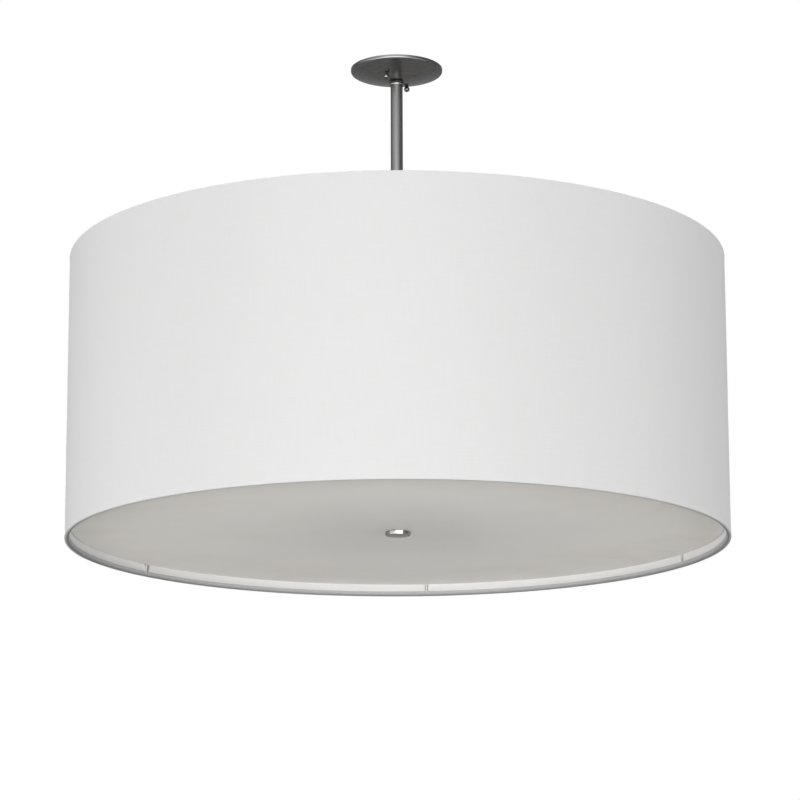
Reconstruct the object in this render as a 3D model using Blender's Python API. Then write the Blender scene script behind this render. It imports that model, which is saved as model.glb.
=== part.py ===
# Drum pendant: a round linen shade with an acrylic diffuser, on a rigid stem below a shallow
# ceiling canopy. Metres, +Z up. The origin is on the stem's axis, at the ceiling.

import math

import bmesh
import bpy
from mathutils import Matrix, Vector

# Overall sizes
SHADE_DIAMETER = 0.9144
SHADE_HEIGHT = 0.396

# How pieces meet
JOIN_GAP = 0.0003               # between pieces that touch, screw or weld together
OVERRUN = 0.003                 # how far a cutter reaches past what it cuts
WELD_DISTANCE = 0.000001        # points nearer than this are one point

# Facets round each kind of round piece
SHADE_FACETS = 60
PLATE_FACETS = 36
TUBE_FACETS = 28
FITTING_FACETS = 20
SMALL_FACETS = 16
SCREW_FACETS = 12
WIRE_FACETS = 8
RING_WIRE_FACETS = 6

# Ceiling crossbar and what is screwed to it
CROSSBAR_AZIMUTH = 27.0         # degrees from +Y towards +X
CROSSBAR_LENGTH = 0.104
CROSSBAR_WIDTH = 0.020
CROSSBAR_THICKNESS = 0.0024
STUD_SPACING = 0.064
STUD_DIAMETER = 0.0042
BOX_SCREW_SPACING = 0.0889
BOX_SCREW_DIAMETER = 0.0042
BOX_SCREW_LENGTH = 0.007        # above the ceiling plane, so that the rim hides it from below
BOX_SLOT_LENGTH = 0.012
BOX_SLOT_WIDTH = 0.0050
SCREW_HEAD_DIAMETER = 0.0080
SCREW_HEAD_HEIGHT = 0.0024
GROUND_SCREW_OFFSET = 0.019
GROUND_SCREW_LENGTH = 0.008
NIPPLE_DIAMETER = 0.0098
NIPPLE_BORE = 0.0058
NIPPLE_RISE = 0.012             # above the crossbar, into the outlet box
NUT_ACROSS_FLATS = 0.0150
NUT_THICKNESS = 0.0040

# Ball swivel between the nipple and the stem
SWIVEL_OUTER_DIAMETER = 0.0170
SWIVEL_THREAD_DEPTH = 0.0043
SWIVEL_WEB = 0.0006
SWIVEL_BALL_DIAMETER = 0.0120
SWIVEL_MOUTH_DROP = 0.0036      # ball centre to the housing's lower lip
SWIVEL_NECK_DIAMETER = 0.0072
SWIVEL_BORE = 0.0040
SHOULDER_GAP = 0.0008           # lip of the housing to the shoulder on the stem
SHOULDER_THICKNESS = 0.0010
SHOULDER_DIAMETER = 0.0166
PLUG_LENGTH = 0.012

# Canopy
CANOPY_DIAMETER = 0.130
CANOPY_DEPTH = 0.020
CANOPY_RIM_HEIGHT = 0.0045
CANOPY_THICKNESS = 0.0012
CANOPY_EDGE_RADIUS = 0.0016
CANOPY_HOLE_CLEARANCE = 0.0006  # stem to the edge of the canopy's hole
CANOPY_DOME_POWER = 1.55        # 1 is a cone, 2 a bowl
CANOPY_DOME_STEPS = 6
STUD_HOLE_CLEARANCE = 0.0005
BALL_NUT_DIAMETER = 0.0080
BALL_NUT_NECK_DIAMETER = 0.0058
BALL_NUT_DROP = 0.020           # ceiling to the ball's centre

# Stem with the rubber ring and the bright collar under the canopy
STEM_DIAMETER = 0.0172
STEM_WALL = 0.0023
STEM_LENGTH = 0.3048
GASKET_DIAMETER = 0.0200
GASKET_THICKNESS = 0.0026
COLLAR_DIAMETER = 0.0212
COLLAR_THICKNESS = 0.0021
COLLAR_CHAMFER = 0.0004
FOOT_FLANGE_DIAMETER = 0.0220
FOOT_FLANGE_THICKNESS = 0.0040

# Spider that carries the shade
SPIDER_WASHER_DIAMETER = 0.048
SPIDER_WASHER_THICKNESS = 0.003
SPIDER_ARM_DIAMETER = 0.005
SPIDER_ARM_COUNT = 3
SPIDER_ARM_START = 0.0125       # axis to an arm's inner end
SPIDER_RECESS = 0.0355          # arms to the shade's upper edge

# Threaded rod from the stem's foot to the finial
ROD_DIAMETER = 0.0098
ROD_BORE = 0.0058
ROD_TOP_INSET = 0.002           # below the top of the stem's foot

# Lamp cluster
CLUSTER_DIAMETER = 0.068
CLUSTER_HEIGHT = 0.040
CLUSTER_WALL = 0.0015
LAMP_COUNT = 3
SOCKET_STUB_DIAMETER = 0.0096
SOCKET_STUB_LENGTH = 0.0045
SOCKET_REAR_DIAMETER = 0.020
SOCKET_DIAMETER = 0.034
SOCKET_TAPER_LENGTH = 0.007
SOCKET_LENGTH = 0.044
SOCKET_LIP_DIAMETER = 0.036
SOCKET_LIP_WIDTH = 0.004
SOCKET_FLOOR = 0.014            # rear face to the bottom of the bore
LAMP_CAP_DIAMETER = 0.0264
LAMP_CAP_GAP = 0.0004
LAMP_CONTACT_DIAMETER = 0.0080
LAMP_CONTACT_HEIGHT = 0.0020
LAMP_GLOBE_DIAMETER = 0.060
LAMP_LENGTH = 0.108
LAMP_NECK_RUN = 0.0015          # straight neck past the socket's lip
LAMP_FLARE_ANGLE = 32.0         # degrees between the neck's flare and the axis

# Shade frame and skins
RING_WIRE_DIAMETER = 0.0040
RIB_WIRE_DIAMETER = 0.0035
RIB_COUNT = 6
RIB_AZIMUTH = 5.5               # degrees from +Y towards +X
LINEN_THICKNESS = 0.0006
LINER_THICKNESS = 0.0005
HEM_HEIGHT = 0.018
HEM_NOTCH_WIDTH = 0.007
BEAD_STEPS = 4                  # facets round half a rolled edge

# Diffuser and finial
DIFFUSER_RISE = 0.017           # shade's lower edge to the diffuser's lower face
DIFFUSER_THICKNESS = 0.003
DIFFUSER_EDGE_CLEARANCE = 0.0012
DIFFUSER_WASHER_DIAMETER = 0.032
DIFFUSER_WASHER_THICKNESS = 0.0015
FINIAL_DIAMETER = 0.0362
FINIAL_SIDES = 12
FINIAL_AZIMUTH = 7.5            # degrees from +Y towards +X to one corner
FINIAL_SIDE_HEIGHT = 0.0048
FINIAL_BEVEL = 0.0006
FINIAL_CONE_HEIGHT = 0.0005
FINIAL_HUB_DIAMETER = 0.0140
FINIAL_HUB_CLEARANCE = 0.0004
FINIAL_FLOOR = 0.0018           # metal left under the blind thread

# Heights that follow from the sizes, from the ceiling down
crossbar_under = -CROSSBAR_THICKNESS
housing_top = crossbar_under - JOIN_GAP
nipple_end = housing_top - SWIVEL_THREAD_DEPTH + JOIN_GAP
cavity_radius = SWIVEL_BALL_DIAMETER / 2 + JOIN_GAP
wire_hole_radius = NIPPLE_BORE / 2
thread_floor = housing_top - SWIVEL_THREAD_DEPTH
ball_height = thread_floor - SWIVEL_WEB - math.sqrt(cavity_radius ** 2 - wire_hole_radius ** 2)
housing_bottom = ball_height - SWIVEL_MOUTH_DROP
shoulder_top = housing_bottom - SHOULDER_GAP
stem_top = shoulder_top - SHOULDER_THICKNESS - JOIN_GAP
stem_bottom = stem_top - STEM_LENGTH
foot_flange_top = stem_bottom - JOIN_GAP
foot_flange_bottom = foot_flange_top - FOOT_FLANGE_THICKNESS
washer_top = foot_flange_bottom - JOIN_GAP
washer_bottom = washer_top - SPIDER_WASHER_THICKNESS
cluster_top = washer_bottom - JOIN_GAP
cluster_bottom = cluster_top - CLUSTER_HEIGHT
lamp_height = (cluster_top + cluster_bottom) / 2
spider_arm_height = washer_top + JOIN_GAP + SPIDER_ARM_DIAMETER / 2
shade_top = spider_arm_height + SPIDER_RECESS
shade_bottom = shade_top - SHADE_HEIGHT
diffuser_bottom = shade_bottom + DIFFUSER_RISE
diffuser_top = diffuser_bottom + DIFFUSER_THICKNESS
finial_top = diffuser_bottom - JOIN_GAP
finial_bottom = finial_top - FINIAL_SIDE_HEIGHT - FINIAL_CONE_HEIGHT
finial_thread_floor = finial_bottom + FINIAL_FLOOR

# Radii that follow from the sizes, from the shade's outside in
shade_radius = SHADE_DIAMETER / 2
linen_inner = shade_radius - LINEN_THICKNESS
liner_outer = linen_inner - JOIN_GAP
liner_inner = liner_outer - LINER_THICKNESS
ring_wire_radius = RING_WIRE_DIAMETER / 2
ring_radius = liner_inner - JOIN_GAP - ring_wire_radius
hem_outer = ring_radius - ring_wire_radius - JOIN_GAP
hem_inner = hem_outer - LINEN_THICKNESS
bead_radius = (shade_radius + hem_inner) / 2
bead_outside = (shade_radius - hem_inner) / 2
bead_inside = bead_outside - LINEN_THICKNESS
lower_bead_height = shade_bottom + bead_outside
upper_bead_height = shade_top - bead_outside
stem_radius = STEM_DIAMETER / 2
stem_bore_radius = stem_radius - STEM_WALL
sleeve_radius = stem_radius + JOIN_GAP
nipple_hole_radius = NIPPLE_DIAMETER / 2 + JOIN_GAP
rod_hole_radius = ROD_DIAMETER / 2 + JOIN_GAP
canopy_hole_radius = stem_radius + CANOPY_HOLE_CLEARANCE
stud_radius = STUD_DIAMETER / 2
nut_corner_radius = NUT_ACROSS_FLATS / 2 / math.cos(math.pi / 6)

# Colour (linear), roughness, metallic
FINISHES = {
    "satin_nickel": ((0.23, 0.23, 0.225), 0.38, 1.0),
    "polished_nickel": ((0.62, 0.61, 0.59), 0.14, 1.0),
    "zinc_steel": ((0.52, 0.52, 0.50), 0.42, 1.0),
    "green_screw": ((0.05, 0.25, 0.08), 0.45, 0.6),
    "black_rubber": ((0.012, 0.012, 0.012), 0.75, 0.0),
    "white_enamel": ((0.80, 0.80, 0.78), 0.40, 0.0),
    "white_linen": ((0.82, 0.81, 0.79), 0.90, 0.0),
    "styrene": ((0.84, 0.84, 0.82), 0.45, 0.0),
    "opal_acrylic": ((0.68, 0.66, 0.62), 0.35, 0.0),
    "fibre": ((0.33, 0.24, 0.16), 0.85, 0.0),
    "porcelain": ((0.78, 0.77, 0.74), 0.18, 0.0),
    "frosted_glass": ((0.88, 0.88, 0.86), 0.30, 0.0),
}


def finish(name):
    """The material of that name, made the first time it is asked for."""
    if name in bpy.data.materials:
        return bpy.data.materials[name]
    colour, roughness, metallic = FINISHES[name]
    made = bpy.data.materials.new(name)
    made.use_nodes = True
    shader = made.node_tree.nodes["Principled BSDF"]
    shader.inputs["Base Color"].default_value = (*colour, 1.0)
    shader.inputs["Roughness"].default_value = roughness
    shader.inputs["Metallic"].default_value = metallic
    made.diffuse_color = (*colour, 1.0)
    return made


def heading(azimuth, radius=0.0, height=0.0):
    """A point at an azimuth in degrees, counted from +Y towards +X."""
    angle = math.radians(azimuth)
    return Vector((radius * math.sin(angle), radius * math.cos(angle), height))


def turn_to(azimuth):
    """Rotation about Z that brings local +X to an azimuth."""
    return Matrix.Rotation(math.radians(90.0 - azimuth), 4, "Z")


def arc(centre, radius, start, end, steps):
    """Points on an arc in the (radius, height) plane; 0 degrees is outward and 90 is up."""
    angles = [math.radians(start + (end - start) * step / steps) for step in range(steps + 1)]
    return [(centre[0] + radius * math.cos(a), centre[1] + radius * math.sin(a)) for a in angles]


def pivot(name, place, parent=None):
    """An empty on a joint's axis. Pivots aren't turned, so their places simply add up."""
    empty = bpy.data.objects.new(name, None)
    empty.empty_display_size = STEM_DIAMETER
    bpy.context.scene.collection.objects.link(empty)
    put(empty, parent, Vector(place))
    return empty


def world_place(thing):
    place = Vector((0, 0, 0))
    while thing:
        place += thing.location
        thing = thing.parent
    return place


def put(thing, parent, place, rotation=None):
    """Parents a thing and gives it a place in the world, and a rotation if it needs one."""
    thing.parent = parent
    thing.location = Vector(place) - world_place(parent)
    if rotation:
        thing.rotation_euler = rotation.to_euler()


def as_object(name, bm, material=None):
    bmesh.ops.recalc_face_normals(bm, faces=bm.faces)
    mesh = bpy.data.meshes.new(name)
    bm.to_mesh(mesh)
    bm.free()
    mesh.shade_smooth()
    mesh.set_sharp_from_angle(angle=math.radians(30.0))
    made = bpy.data.objects.new(name, mesh)
    bpy.context.scene.collection.objects.link(made)
    if material:
        mesh.materials.append(finish(material))
    return made


def turned(name, outline, material, facets):
    """A solid of revolution about Z from its outline of (radius, height) points."""
    bm = bmesh.new()
    points = [bm.verts.new((radius, 0, height)) for radius, height in outline]
    edges = [bm.edges.new(pair) for pair in zip(points, points[1:])]
    if outline[0][0] > 0 or outline[-1][0] > 0:
        edges.append(bm.edges.new((points[-1], points[0])))
    bmesh.ops.spin(
        bm, geom=points + edges, cent=(0, 0, 0), axis=(0, 0, 1),
        angle=math.tau, steps=facets, use_merge=True,
    )
    bmesh.ops.remove_doubles(bm, verts=bm.verts, dist=WELD_DISTANCE)
    return as_object(name, bm, material)


def sleeve(name, outer, inner, bottom, top, material, facets):
    """A plain tube or washer."""
    outline = [(inner, bottom), (outer, bottom), (outer, top), (inner, top)]
    return turned(name, outline, material, facets)


def add_prism(bm, outline, bottom, top):
    """Raises a flat outline of (x, y) points into a solid inside bm."""
    face = bm.faces.new([bm.verts.new((x, y, bottom)) for x, y in outline])
    raised = bmesh.ops.extrude_face_region(bm, geom=[face])["geom"]
    lifted = [item for item in raised if isinstance(item, bmesh.types.BMVert)]
    bmesh.ops.translate(bm, vec=(0, 0, top - bottom), verts=lifted)


def circle(radius, facets, centre=0.0):
    angles = [math.tau * step / facets for step in range(facets)]
    return [(centre + radius * math.cos(a), radius * math.sin(a)) for a in angles]


def stadium(length, width, facets, centre=0.0):
    """A strip along X with round ends."""
    reach = (length - width) / 2
    quarter = facets // 2
    right = [math.pi * (step / quarter - 0.5) for step in range(quarter + 1)]
    half = [(centre + reach + width / 2 * math.cos(a), width / 2 * math.sin(a)) for a in right]
    return half + [(2 * centre - x, -y) for x, y in half]


def cutter(name, bm, parent, place, rotation=None):
    tool = as_object(name, bm)
    tool.hide_render = True
    tool.display_type = "WIRE"
    put(tool, parent, place, rotation)
    return tool


def cut(piece, tool):
    boolean = piece.modifiers.new(tool.name, "BOOLEAN")
    boolean.operation = "DIFFERENCE"
    boolean.object = tool


def hex_nut(name, bottom, hole_radius, parent):
    """A hexagon nut on the axis."""
    bm = bmesh.new()
    add_prism(bm, circle(nut_corner_radius, 6), bottom, bottom + NUT_THICKNESS)
    nut = as_object(name, bm, "zinc_steel")
    put(nut, parent, (0, 0, 0))
    bore = bmesh.new()
    add_prism(bore, circle(hole_radius, SMALL_FACETS), bottom - OVERRUN, bottom + NUT_THICKNESS + OVERRUN)
    cut(nut, cutter(name + "_bore", bore, parent, (0, 0, 0)))
    return nut


def screw(name, head_top, shank_radius, shank_end, material):
    """A pan-head screw pointing up, its head under head_top."""
    head_radius = SCREW_HEAD_DIAMETER / 2
    head_bottom = head_top - SCREW_HEAD_HEIGHT
    outline = [
        (0, head_bottom),
        (head_radius - SCREW_HEAD_HEIGHT / 3, head_bottom),
        (head_radius, head_bottom + SCREW_HEAD_HEIGHT / 2),
        (head_radius, head_top),
        (shank_radius, head_top),
        (shank_radius, shank_end),
        (0, shank_end),
    ]
    return turned(name, outline, material, SCREW_FACETS)


def make_crossbar(ceiling):
    """Slotted strap on the outlet box, with its screws, studs, nipple and lock nut."""
    aligned = turn_to(CROSSBAR_AZIMUTH)
    bm = bmesh.new()
    add_prism(bm, stadium(CROSSBAR_LENGTH, CROSSBAR_WIDTH, SMALL_FACETS), crossbar_under, 0)
    # Edges across the bar keep the plain stretch between the nut and each stud as faces of its own.
    plain_start = nut_corner_radius + OVERRUN
    plain_end = (STUD_SPACING - STUD_DIAMETER) / 2 - OVERRUN
    for place in (-plain_end, -plain_start, plain_start, plain_end):
        everything = bm.verts[:] + bm.edges[:] + bm.faces[:]
        bmesh.ops.bisect_plane(bm, geom=everything, plane_co=(place, 0, 0), plane_no=(1, 0, 0))
    bar = as_object("crossbar", bm, "zinc_steel")
    put(bar, ceiling, (0, 0, 0), aligned)

    low, high = crossbar_under - OVERRUN, OVERRUN
    holes = bmesh.new()
    add_prism(holes, circle(nipple_hole_radius, SMALL_FACETS), low, high)
    ground_hole = BOX_SCREW_DIAMETER / 2 + JOIN_GAP
    add_prism(holes, circle(ground_hole, SCREW_FACETS, GROUND_SCREW_OFFSET), low, high)
    for side in (-1, 1):
        stud_place = side * STUD_SPACING / 2
        slot_place = side * BOX_SCREW_SPACING / 2
        add_prism(holes, circle(stud_radius + JOIN_GAP, SCREW_FACETS, stud_place), low, high)
        add_prism(holes, stadium(BOX_SLOT_LENGTH, BOX_SLOT_WIDTH, SCREW_FACETS, slot_place), low, high)
    cut(bar, cutter("crossbar_holes", holes, ceiling, (0, 0, 0), aligned))

    head_top = crossbar_under - JOIN_GAP
    for name, turn in (("near", 180), ("far", 0)):
        azimuth = CROSSBAR_AZIMUTH + turn
        box_screw = screw(
            "box_screw_" + name, head_top, BOX_SCREW_DIAMETER / 2, BOX_SCREW_LENGTH, "zinc_steel",
        )
        put(box_screw, ceiling, heading(azimuth, BOX_SCREW_SPACING / 2))
        stud_end = -BALL_NUT_DROP - JOIN_GAP
        stud_outline = [(0, stud_end), (stud_radius, stud_end), (stud_radius, 0), (0, 0)]
        stud = turned("canopy_stud_" + name, stud_outline, "zinc_steel", SCREW_FACETS)
        put(stud, ceiling, heading(azimuth, STUD_SPACING / 2))
    ground = screw(
        "ground_screw", head_top, BOX_SCREW_DIAMETER / 2, GROUND_SCREW_LENGTH, "green_screw",
    )
    put(ground, ceiling, heading(CROSSBAR_AZIMUTH, GROUND_SCREW_OFFSET))

    nipple = sleeve(
        "nipple", NIPPLE_DIAMETER / 2, NIPPLE_BORE / 2, nipple_end, NIPPLE_RISE,
        "zinc_steel", SMALL_FACETS,
    )
    put(nipple, ceiling, (0, 0, 0))
    hex_nut("nipple_lock_nut", JOIN_GAP, nipple_hole_radius, ceiling)


def make_swivel(ceiling, hanging):
    """Ball swivel: the housing screws on the nipple, and the ball's plug holds the stem."""
    outer = SWIVEL_OUTER_DIAMETER / 2
    top_angle = math.degrees(math.acos(wire_hole_radius / cavity_radius))
    lip_angle = -math.degrees(math.asin(SWIVEL_MOUTH_DROP / cavity_radius))
    cavity = arc((0, ball_height), cavity_radius, lip_angle, top_angle, 6)
    outline = cavity + [
        (wire_hole_radius, thread_floor),
        (nipple_hole_radius, thread_floor),
        (nipple_hole_radius, housing_top),
        (outer, housing_top),
        (outer, housing_bottom),
    ]
    housing = turned("swivel_housing", outline, "zinc_steel", FITTING_FACETS)
    put(housing, ceiling, (0, 0, 0))

    ball_radius = SWIVEL_BALL_DIAMETER / 2
    bore = SWIVEL_BORE / 2
    neck = SWIVEL_NECK_DIAMETER / 2
    plug = stem_bore_radius - JOIN_GAP
    shoulder = SHOULDER_DIAMETER / 2
    neck_angle = -math.degrees(math.acos(neck / ball_radius))
    crown_angle = math.degrees(math.acos(bore / ball_radius))
    shoulder_bottom = shoulder_top - SHOULDER_THICKNESS
    plug_bottom = stem_top - PLUG_LENGTH
    outline = arc((0, ball_height), ball_radius, neck_angle, crown_angle, 6) + [
        (bore, plug_bottom),
        (plug, plug_bottom),
        (plug, shoulder_bottom),
        (shoulder, shoulder_bottom),
        (shoulder, shoulder_top),
        (neck, shoulder_top),
    ]
    ball = turned("swivel_ball", outline, "zinc_steel", FITTING_FACETS)
    put(ball, hanging, (0, 0, 0))


def dome_height(radius):
    """Height of the canopy's outer face at a radius."""
    rim = CANOPY_DIAMETER / 2
    return -CANOPY_DEPTH + (CANOPY_DEPTH - CANOPY_RIM_HEIGHT) * (radius / rim) ** CANOPY_DOME_POWER


def make_canopy(canopy_slide):
    """Spun canopy with its two stud holes, and the rings that ride under it on the stem."""
    rim = CANOPY_DIAMETER / 2
    flat_end = rim - CANOPY_EDGE_RADIUS
    radii = [
        canopy_hole_radius + (flat_end - canopy_hole_radius) * step / CANOPY_DOME_STEPS
        for step in range(CANOPY_DOME_STEPS + 1)
    ]
    outside = [(radius, dome_height(radius)) for radius in radii]
    edge_centre = (flat_end, outside[-1][1] + CANOPY_EDGE_RADIUS)
    outside += arc(edge_centre, CANOPY_EDGE_RADIUS, -90, 0, 3)[1:]
    inner_rim = rim - CANOPY_THICKNESS
    inside = [(min(radius, inner_rim), height + CANOPY_THICKNESS) for radius, height in outside[:len(radii)]]
    outline = outside + [(rim, 0), (inner_rim, 0)]
    outline += [(inner_rim, inside[-1][1] + CANOPY_EDGE_RADIUS / 2)] + inside[::-1]
    canopy = turned("canopy", outline, "satin_nickel", PLATE_FACETS)
    put(canopy, canopy_slide, (0, 0, 0))

    holes = bmesh.new()
    for side in (-1, 1):
        hole = circle(stud_radius + STUD_HOLE_CLEARANCE, SCREW_FACETS, side * STUD_SPACING / 2)
        add_prism(holes, hole, -CANOPY_DEPTH - OVERRUN, 0)
    cut(canopy, cutter("canopy_stud_holes", holes, canopy_slide, (0, 0, 0), turn_to(CROSSBAR_AZIMUTH)))

    gasket_top = dome_height(canopy_hole_radius) - JOIN_GAP
    gasket_bottom = gasket_top - GASKET_THICKNESS
    gasket = sleeve(
        "stem_gasket", GASKET_DIAMETER / 2, sleeve_radius, gasket_bottom, gasket_top,
        "black_rubber", TUBE_FACETS,
    )
    put(gasket, canopy_slide, (0, 0, 0))

    collar_top = gasket_bottom - JOIN_GAP
    collar_bottom = collar_top - COLLAR_THICKNESS
    outer = COLLAR_DIAMETER / 2
    outline = [
        (sleeve_radius, collar_bottom),
        (outer - COLLAR_CHAMFER, collar_bottom),
        (outer, collar_bottom + COLLAR_CHAMFER),
        (outer, collar_top - COLLAR_CHAMFER),
        (outer - COLLAR_CHAMFER, collar_top),
        (sleeve_radius, collar_top),
    ]
    collar = turned("stem_collar", outline, "polished_nickel", TUBE_FACETS)
    put(collar, canopy_slide, (0, 0, 0))


def make_ball_nut(name, azimuth, canopy_slide):
    """A ball nut on its stud; its neck stops just under the canopy."""
    place = heading(azimuth, STUD_SPACING / 2, -BALL_NUT_DROP)
    neck = BALL_NUT_NECK_DIAMETER / 2
    ball = BALL_NUT_DIAMETER / 2
    bore = stud_radius + JOIN_GAP
    neck_top = dome_height(STUD_SPACING / 2 - neck) - JOIN_GAP + BALL_NUT_DROP
    bore_floor = -2 * JOIN_GAP
    neck_angle = math.degrees(math.acos(neck / ball))
    outline = [(0, bore_floor), (bore, bore_floor), (bore, neck_top), (neck, neck_top)]
    outline += arc((0, 0), ball, neck_angle, -90, 6)[:-1] + [(0, -ball)]
    nut = turned(name, outline, "polished_nickel", SMALL_FACETS)
    put(nut, canopy_slide, place)


def make_stem(hanging):
    """The stem tube and the flanged foot screwed into its lower end."""
    stem = sleeve(
        "stem", stem_radius, stem_bore_radius, stem_bottom, stem_top, "satin_nickel", TUBE_FACETS,
    )
    put(stem, hanging, (0, 0, 0))

    plug = stem_bore_radius - JOIN_GAP
    flange = FOOT_FLANGE_DIAMETER / 2
    outline = [
        (rod_hole_radius, foot_flange_bottom),
        (flange, foot_flange_bottom),
        (flange, foot_flange_top),
        (plug, foot_flange_top),
        (plug, foot_flange_top + PLUG_LENGTH),
        (rod_hole_radius, foot_flange_top + PLUG_LENGTH),
    ]
    foot = turned("stem_foot", outline, "satin_nickel", FITTING_FACETS)
    put(foot, hanging, (0, 0, 0))

    rod = sleeve(
        "centre_rod", ROD_DIAMETER / 2, ROD_BORE / 2, finial_thread_floor + JOIN_GAP,
        foot_flange_top + PLUG_LENGTH - ROD_TOP_INSET, "zinc_steel", SMALL_FACETS,
    )
    put(rod, hanging, (0, 0, 0))


def make_spider(hanging):
    """Recessed spider: a washer clamped under the stem, and arms welded to every other rib."""
    washer = sleeve(
        "spider_washer", SPIDER_WASHER_DIAMETER / 2, rod_hole_radius, washer_bottom, washer_top,
        "white_enamel", FITTING_FACETS,
    )
    put(washer, hanging, (0, 0, 0))

    arm_radius = SPIDER_ARM_DIAMETER / 2
    arm_end = ring_radius - RIB_WIRE_DIAMETER / 2 - JOIN_GAP
    for number in range(SPIDER_ARM_COUNT):
        azimuth = RIB_AZIMUTH + 360.0 * number / SPIDER_ARM_COUNT
        outline = [(0, 0), (arm_radius, 0), (arm_radius, arm_end - SPIDER_ARM_START)]
        outline.append((0, arm_end - SPIDER_ARM_START))
        arm = turned("spider_arm_%d" % (number + 1), outline, "white_enamel", WIRE_FACETS)
        outward = turn_to(azimuth) @ Matrix.Rotation(math.pi / 2, 4, "Y")
        put(arm, hanging, heading(azimuth, SPIDER_ARM_START, spider_arm_height), outward)


def make_cluster(hanging):
    """The cup that gathers the lamp holders, closed by a cover and two nuts on the rod."""
    radius = CLUSTER_DIAMETER / 2
    inner = radius - CLUSTER_WALL
    outline = [
        (rod_hole_radius, cluster_top),
        (radius, cluster_top),
        (radius, cluster_bottom),
        (inner, cluster_bottom),
        (inner, cluster_top - CLUSTER_WALL),
        (rod_hole_radius, cluster_top - CLUSTER_WALL),
    ]
    body = turned("cluster_body", outline, "white_enamel", TUBE_FACETS)
    put(body, hanging, (0, 0, 0))

    holes = bmesh.new()
    for azimuth in lamp_azimuths():
        hole = bmesh.new()
        add_prism(hole, circle(SOCKET_STUB_DIAMETER / 2 + JOIN_GAP, SCREW_FACETS), inner / 2, radius + OVERRUN)
        hole.transform(lamp_frame(azimuth).to_4x4())
        spare = bpy.data.meshes.new("stub_hole")
        hole.to_mesh(spare)
        holes.from_mesh(spare)
        hole.free()
        bpy.data.meshes.remove(spare)
    cut(body, cutter("cluster_stub_holes", holes, hanging, (0, 0, lamp_height)))

    cover_top = cluster_bottom - JOIN_GAP
    cover = sleeve(
        "cluster_cover", radius, rod_hole_radius, cover_top - CLUSTER_WALL, cover_top,
        "white_enamel", TUBE_FACETS,
    )
    put(cover, hanging, (0, 0, 0))
    inside_nut = cluster_top - CLUSTER_WALL - JOIN_GAP - NUT_THICKNESS
    hex_nut("cluster_lock_nut", inside_nut, rod_hole_radius, hanging)
    hex_nut("cover_lock_nut", cover_top - CLUSTER_WALL - JOIN_GAP - NUT_THICKNESS, rod_hole_radius, hanging)


def lamp_azimuths():
    """The lamps point between the spider's arms."""
    return [RIB_AZIMUTH + 360.0 * (number + 0.5) / LAMP_COUNT for number in range(LAMP_COUNT)]


def lamp_frame(azimuth):
    """Rotation that lays local +Z level along an azimuth."""
    return turn_to(azimuth) @ Matrix.Rotation(math.pi / 2, 4, "Y")


def make_lamp(number, azimuth, hanging):
    """One lamp holder with its lamp, laid level and pointing outward."""
    socket_place = heading(azimuth, CLUSTER_DIAMETER / 2 + JOIN_GAP, lamp_height)
    stub = SOCKET_STUB_DIAMETER / 2
    body = SOCKET_DIAMETER / 2
    lip = SOCKET_LIP_DIAMETER / 2
    cap = LAMP_CAP_DIAMETER / 2
    bore = cap + LAMP_CAP_GAP
    outline = [
        (0, -SOCKET_STUB_LENGTH),
        (stub, -SOCKET_STUB_LENGTH),
        (stub, 0),
        (SOCKET_REAR_DIAMETER / 2, 0),
        (body, SOCKET_TAPER_LENGTH),
        (body, SOCKET_LENGTH - SOCKET_LIP_WIDTH),
        (lip, SOCKET_LENGTH - SOCKET_LIP_WIDTH),
        (lip, SOCKET_LENGTH),
        (bore, SOCKET_LENGTH),
        (bore, SOCKET_FLOOR),
        (0, SOCKET_FLOOR),
    ]
    socket = turned("socket_%d" % number, outline, "porcelain", SMALL_FACETS)
    put(socket, hanging, socket_place, lamp_frame(azimuth))

    lamp_turn = pivot("lamp_turn_%d" % number, socket_place, hanging)
    rear = SOCKET_FLOOR + JOIN_GAP
    contact = LAMP_CONTACT_DIAMETER / 2
    globe = LAMP_GLOBE_DIAMETER / 2
    globe_centre = rear + LAMP_LENGTH - globe
    neck_end = SOCKET_LENGTH + LAMP_NECK_RUN
    flare = 180.0 - LAMP_FLARE_ANGLE
    outline = [
        (0, rear),
        (contact, rear),
        (cap, rear + LAMP_CONTACT_HEIGHT),
        (cap, neck_end),
    ]
    glass = arc((0, globe_centre), globe, flare - 180.0, 90.0, 7)
    lamp = turned("lamp_%d" % number, outline + glass[:-1] + [(0, rear + LAMP_LENGTH)], "frosted_glass", SMALL_FACETS)
    put(lamp, lamp_turn, socket_place, lamp_frame(azimuth))


def make_shade_frame(hanging):
    """The wire frame: two rings and the upright ribs welded between them."""
    for name, height in (("top_ring", upper_bead_height), ("bottom_ring", lower_bead_height)):
        wire = arc((ring_radius, height), ring_wire_radius, 90, 450, RING_WIRE_FACETS)[:-1]
        ring = turned(name, wire, "white_enamel", SHADE_FACETS)
        put(ring, hanging, (0, 0, 0), turn_to(RIB_AZIMUTH))

    rib_radius = RIB_WIRE_DIAMETER / 2
    rib_bottom = lower_bead_height + ring_wire_radius + JOIN_GAP
    rib_top = upper_bead_height - ring_wire_radius - JOIN_GAP
    for number in range(RIB_COUNT):
        outline = [(0, rib_bottom), (rib_radius, rib_bottom), (rib_radius, rib_top), (0, rib_top)]
        rib = turned("rib_%d" % (number + 1), outline, "white_enamel", WIRE_FACETS)
        azimuth = RIB_AZIMUTH + 360.0 * number / RIB_COUNT
        put(rib, hanging, heading(azimuth, ring_radius), turn_to(azimuth))


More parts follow.
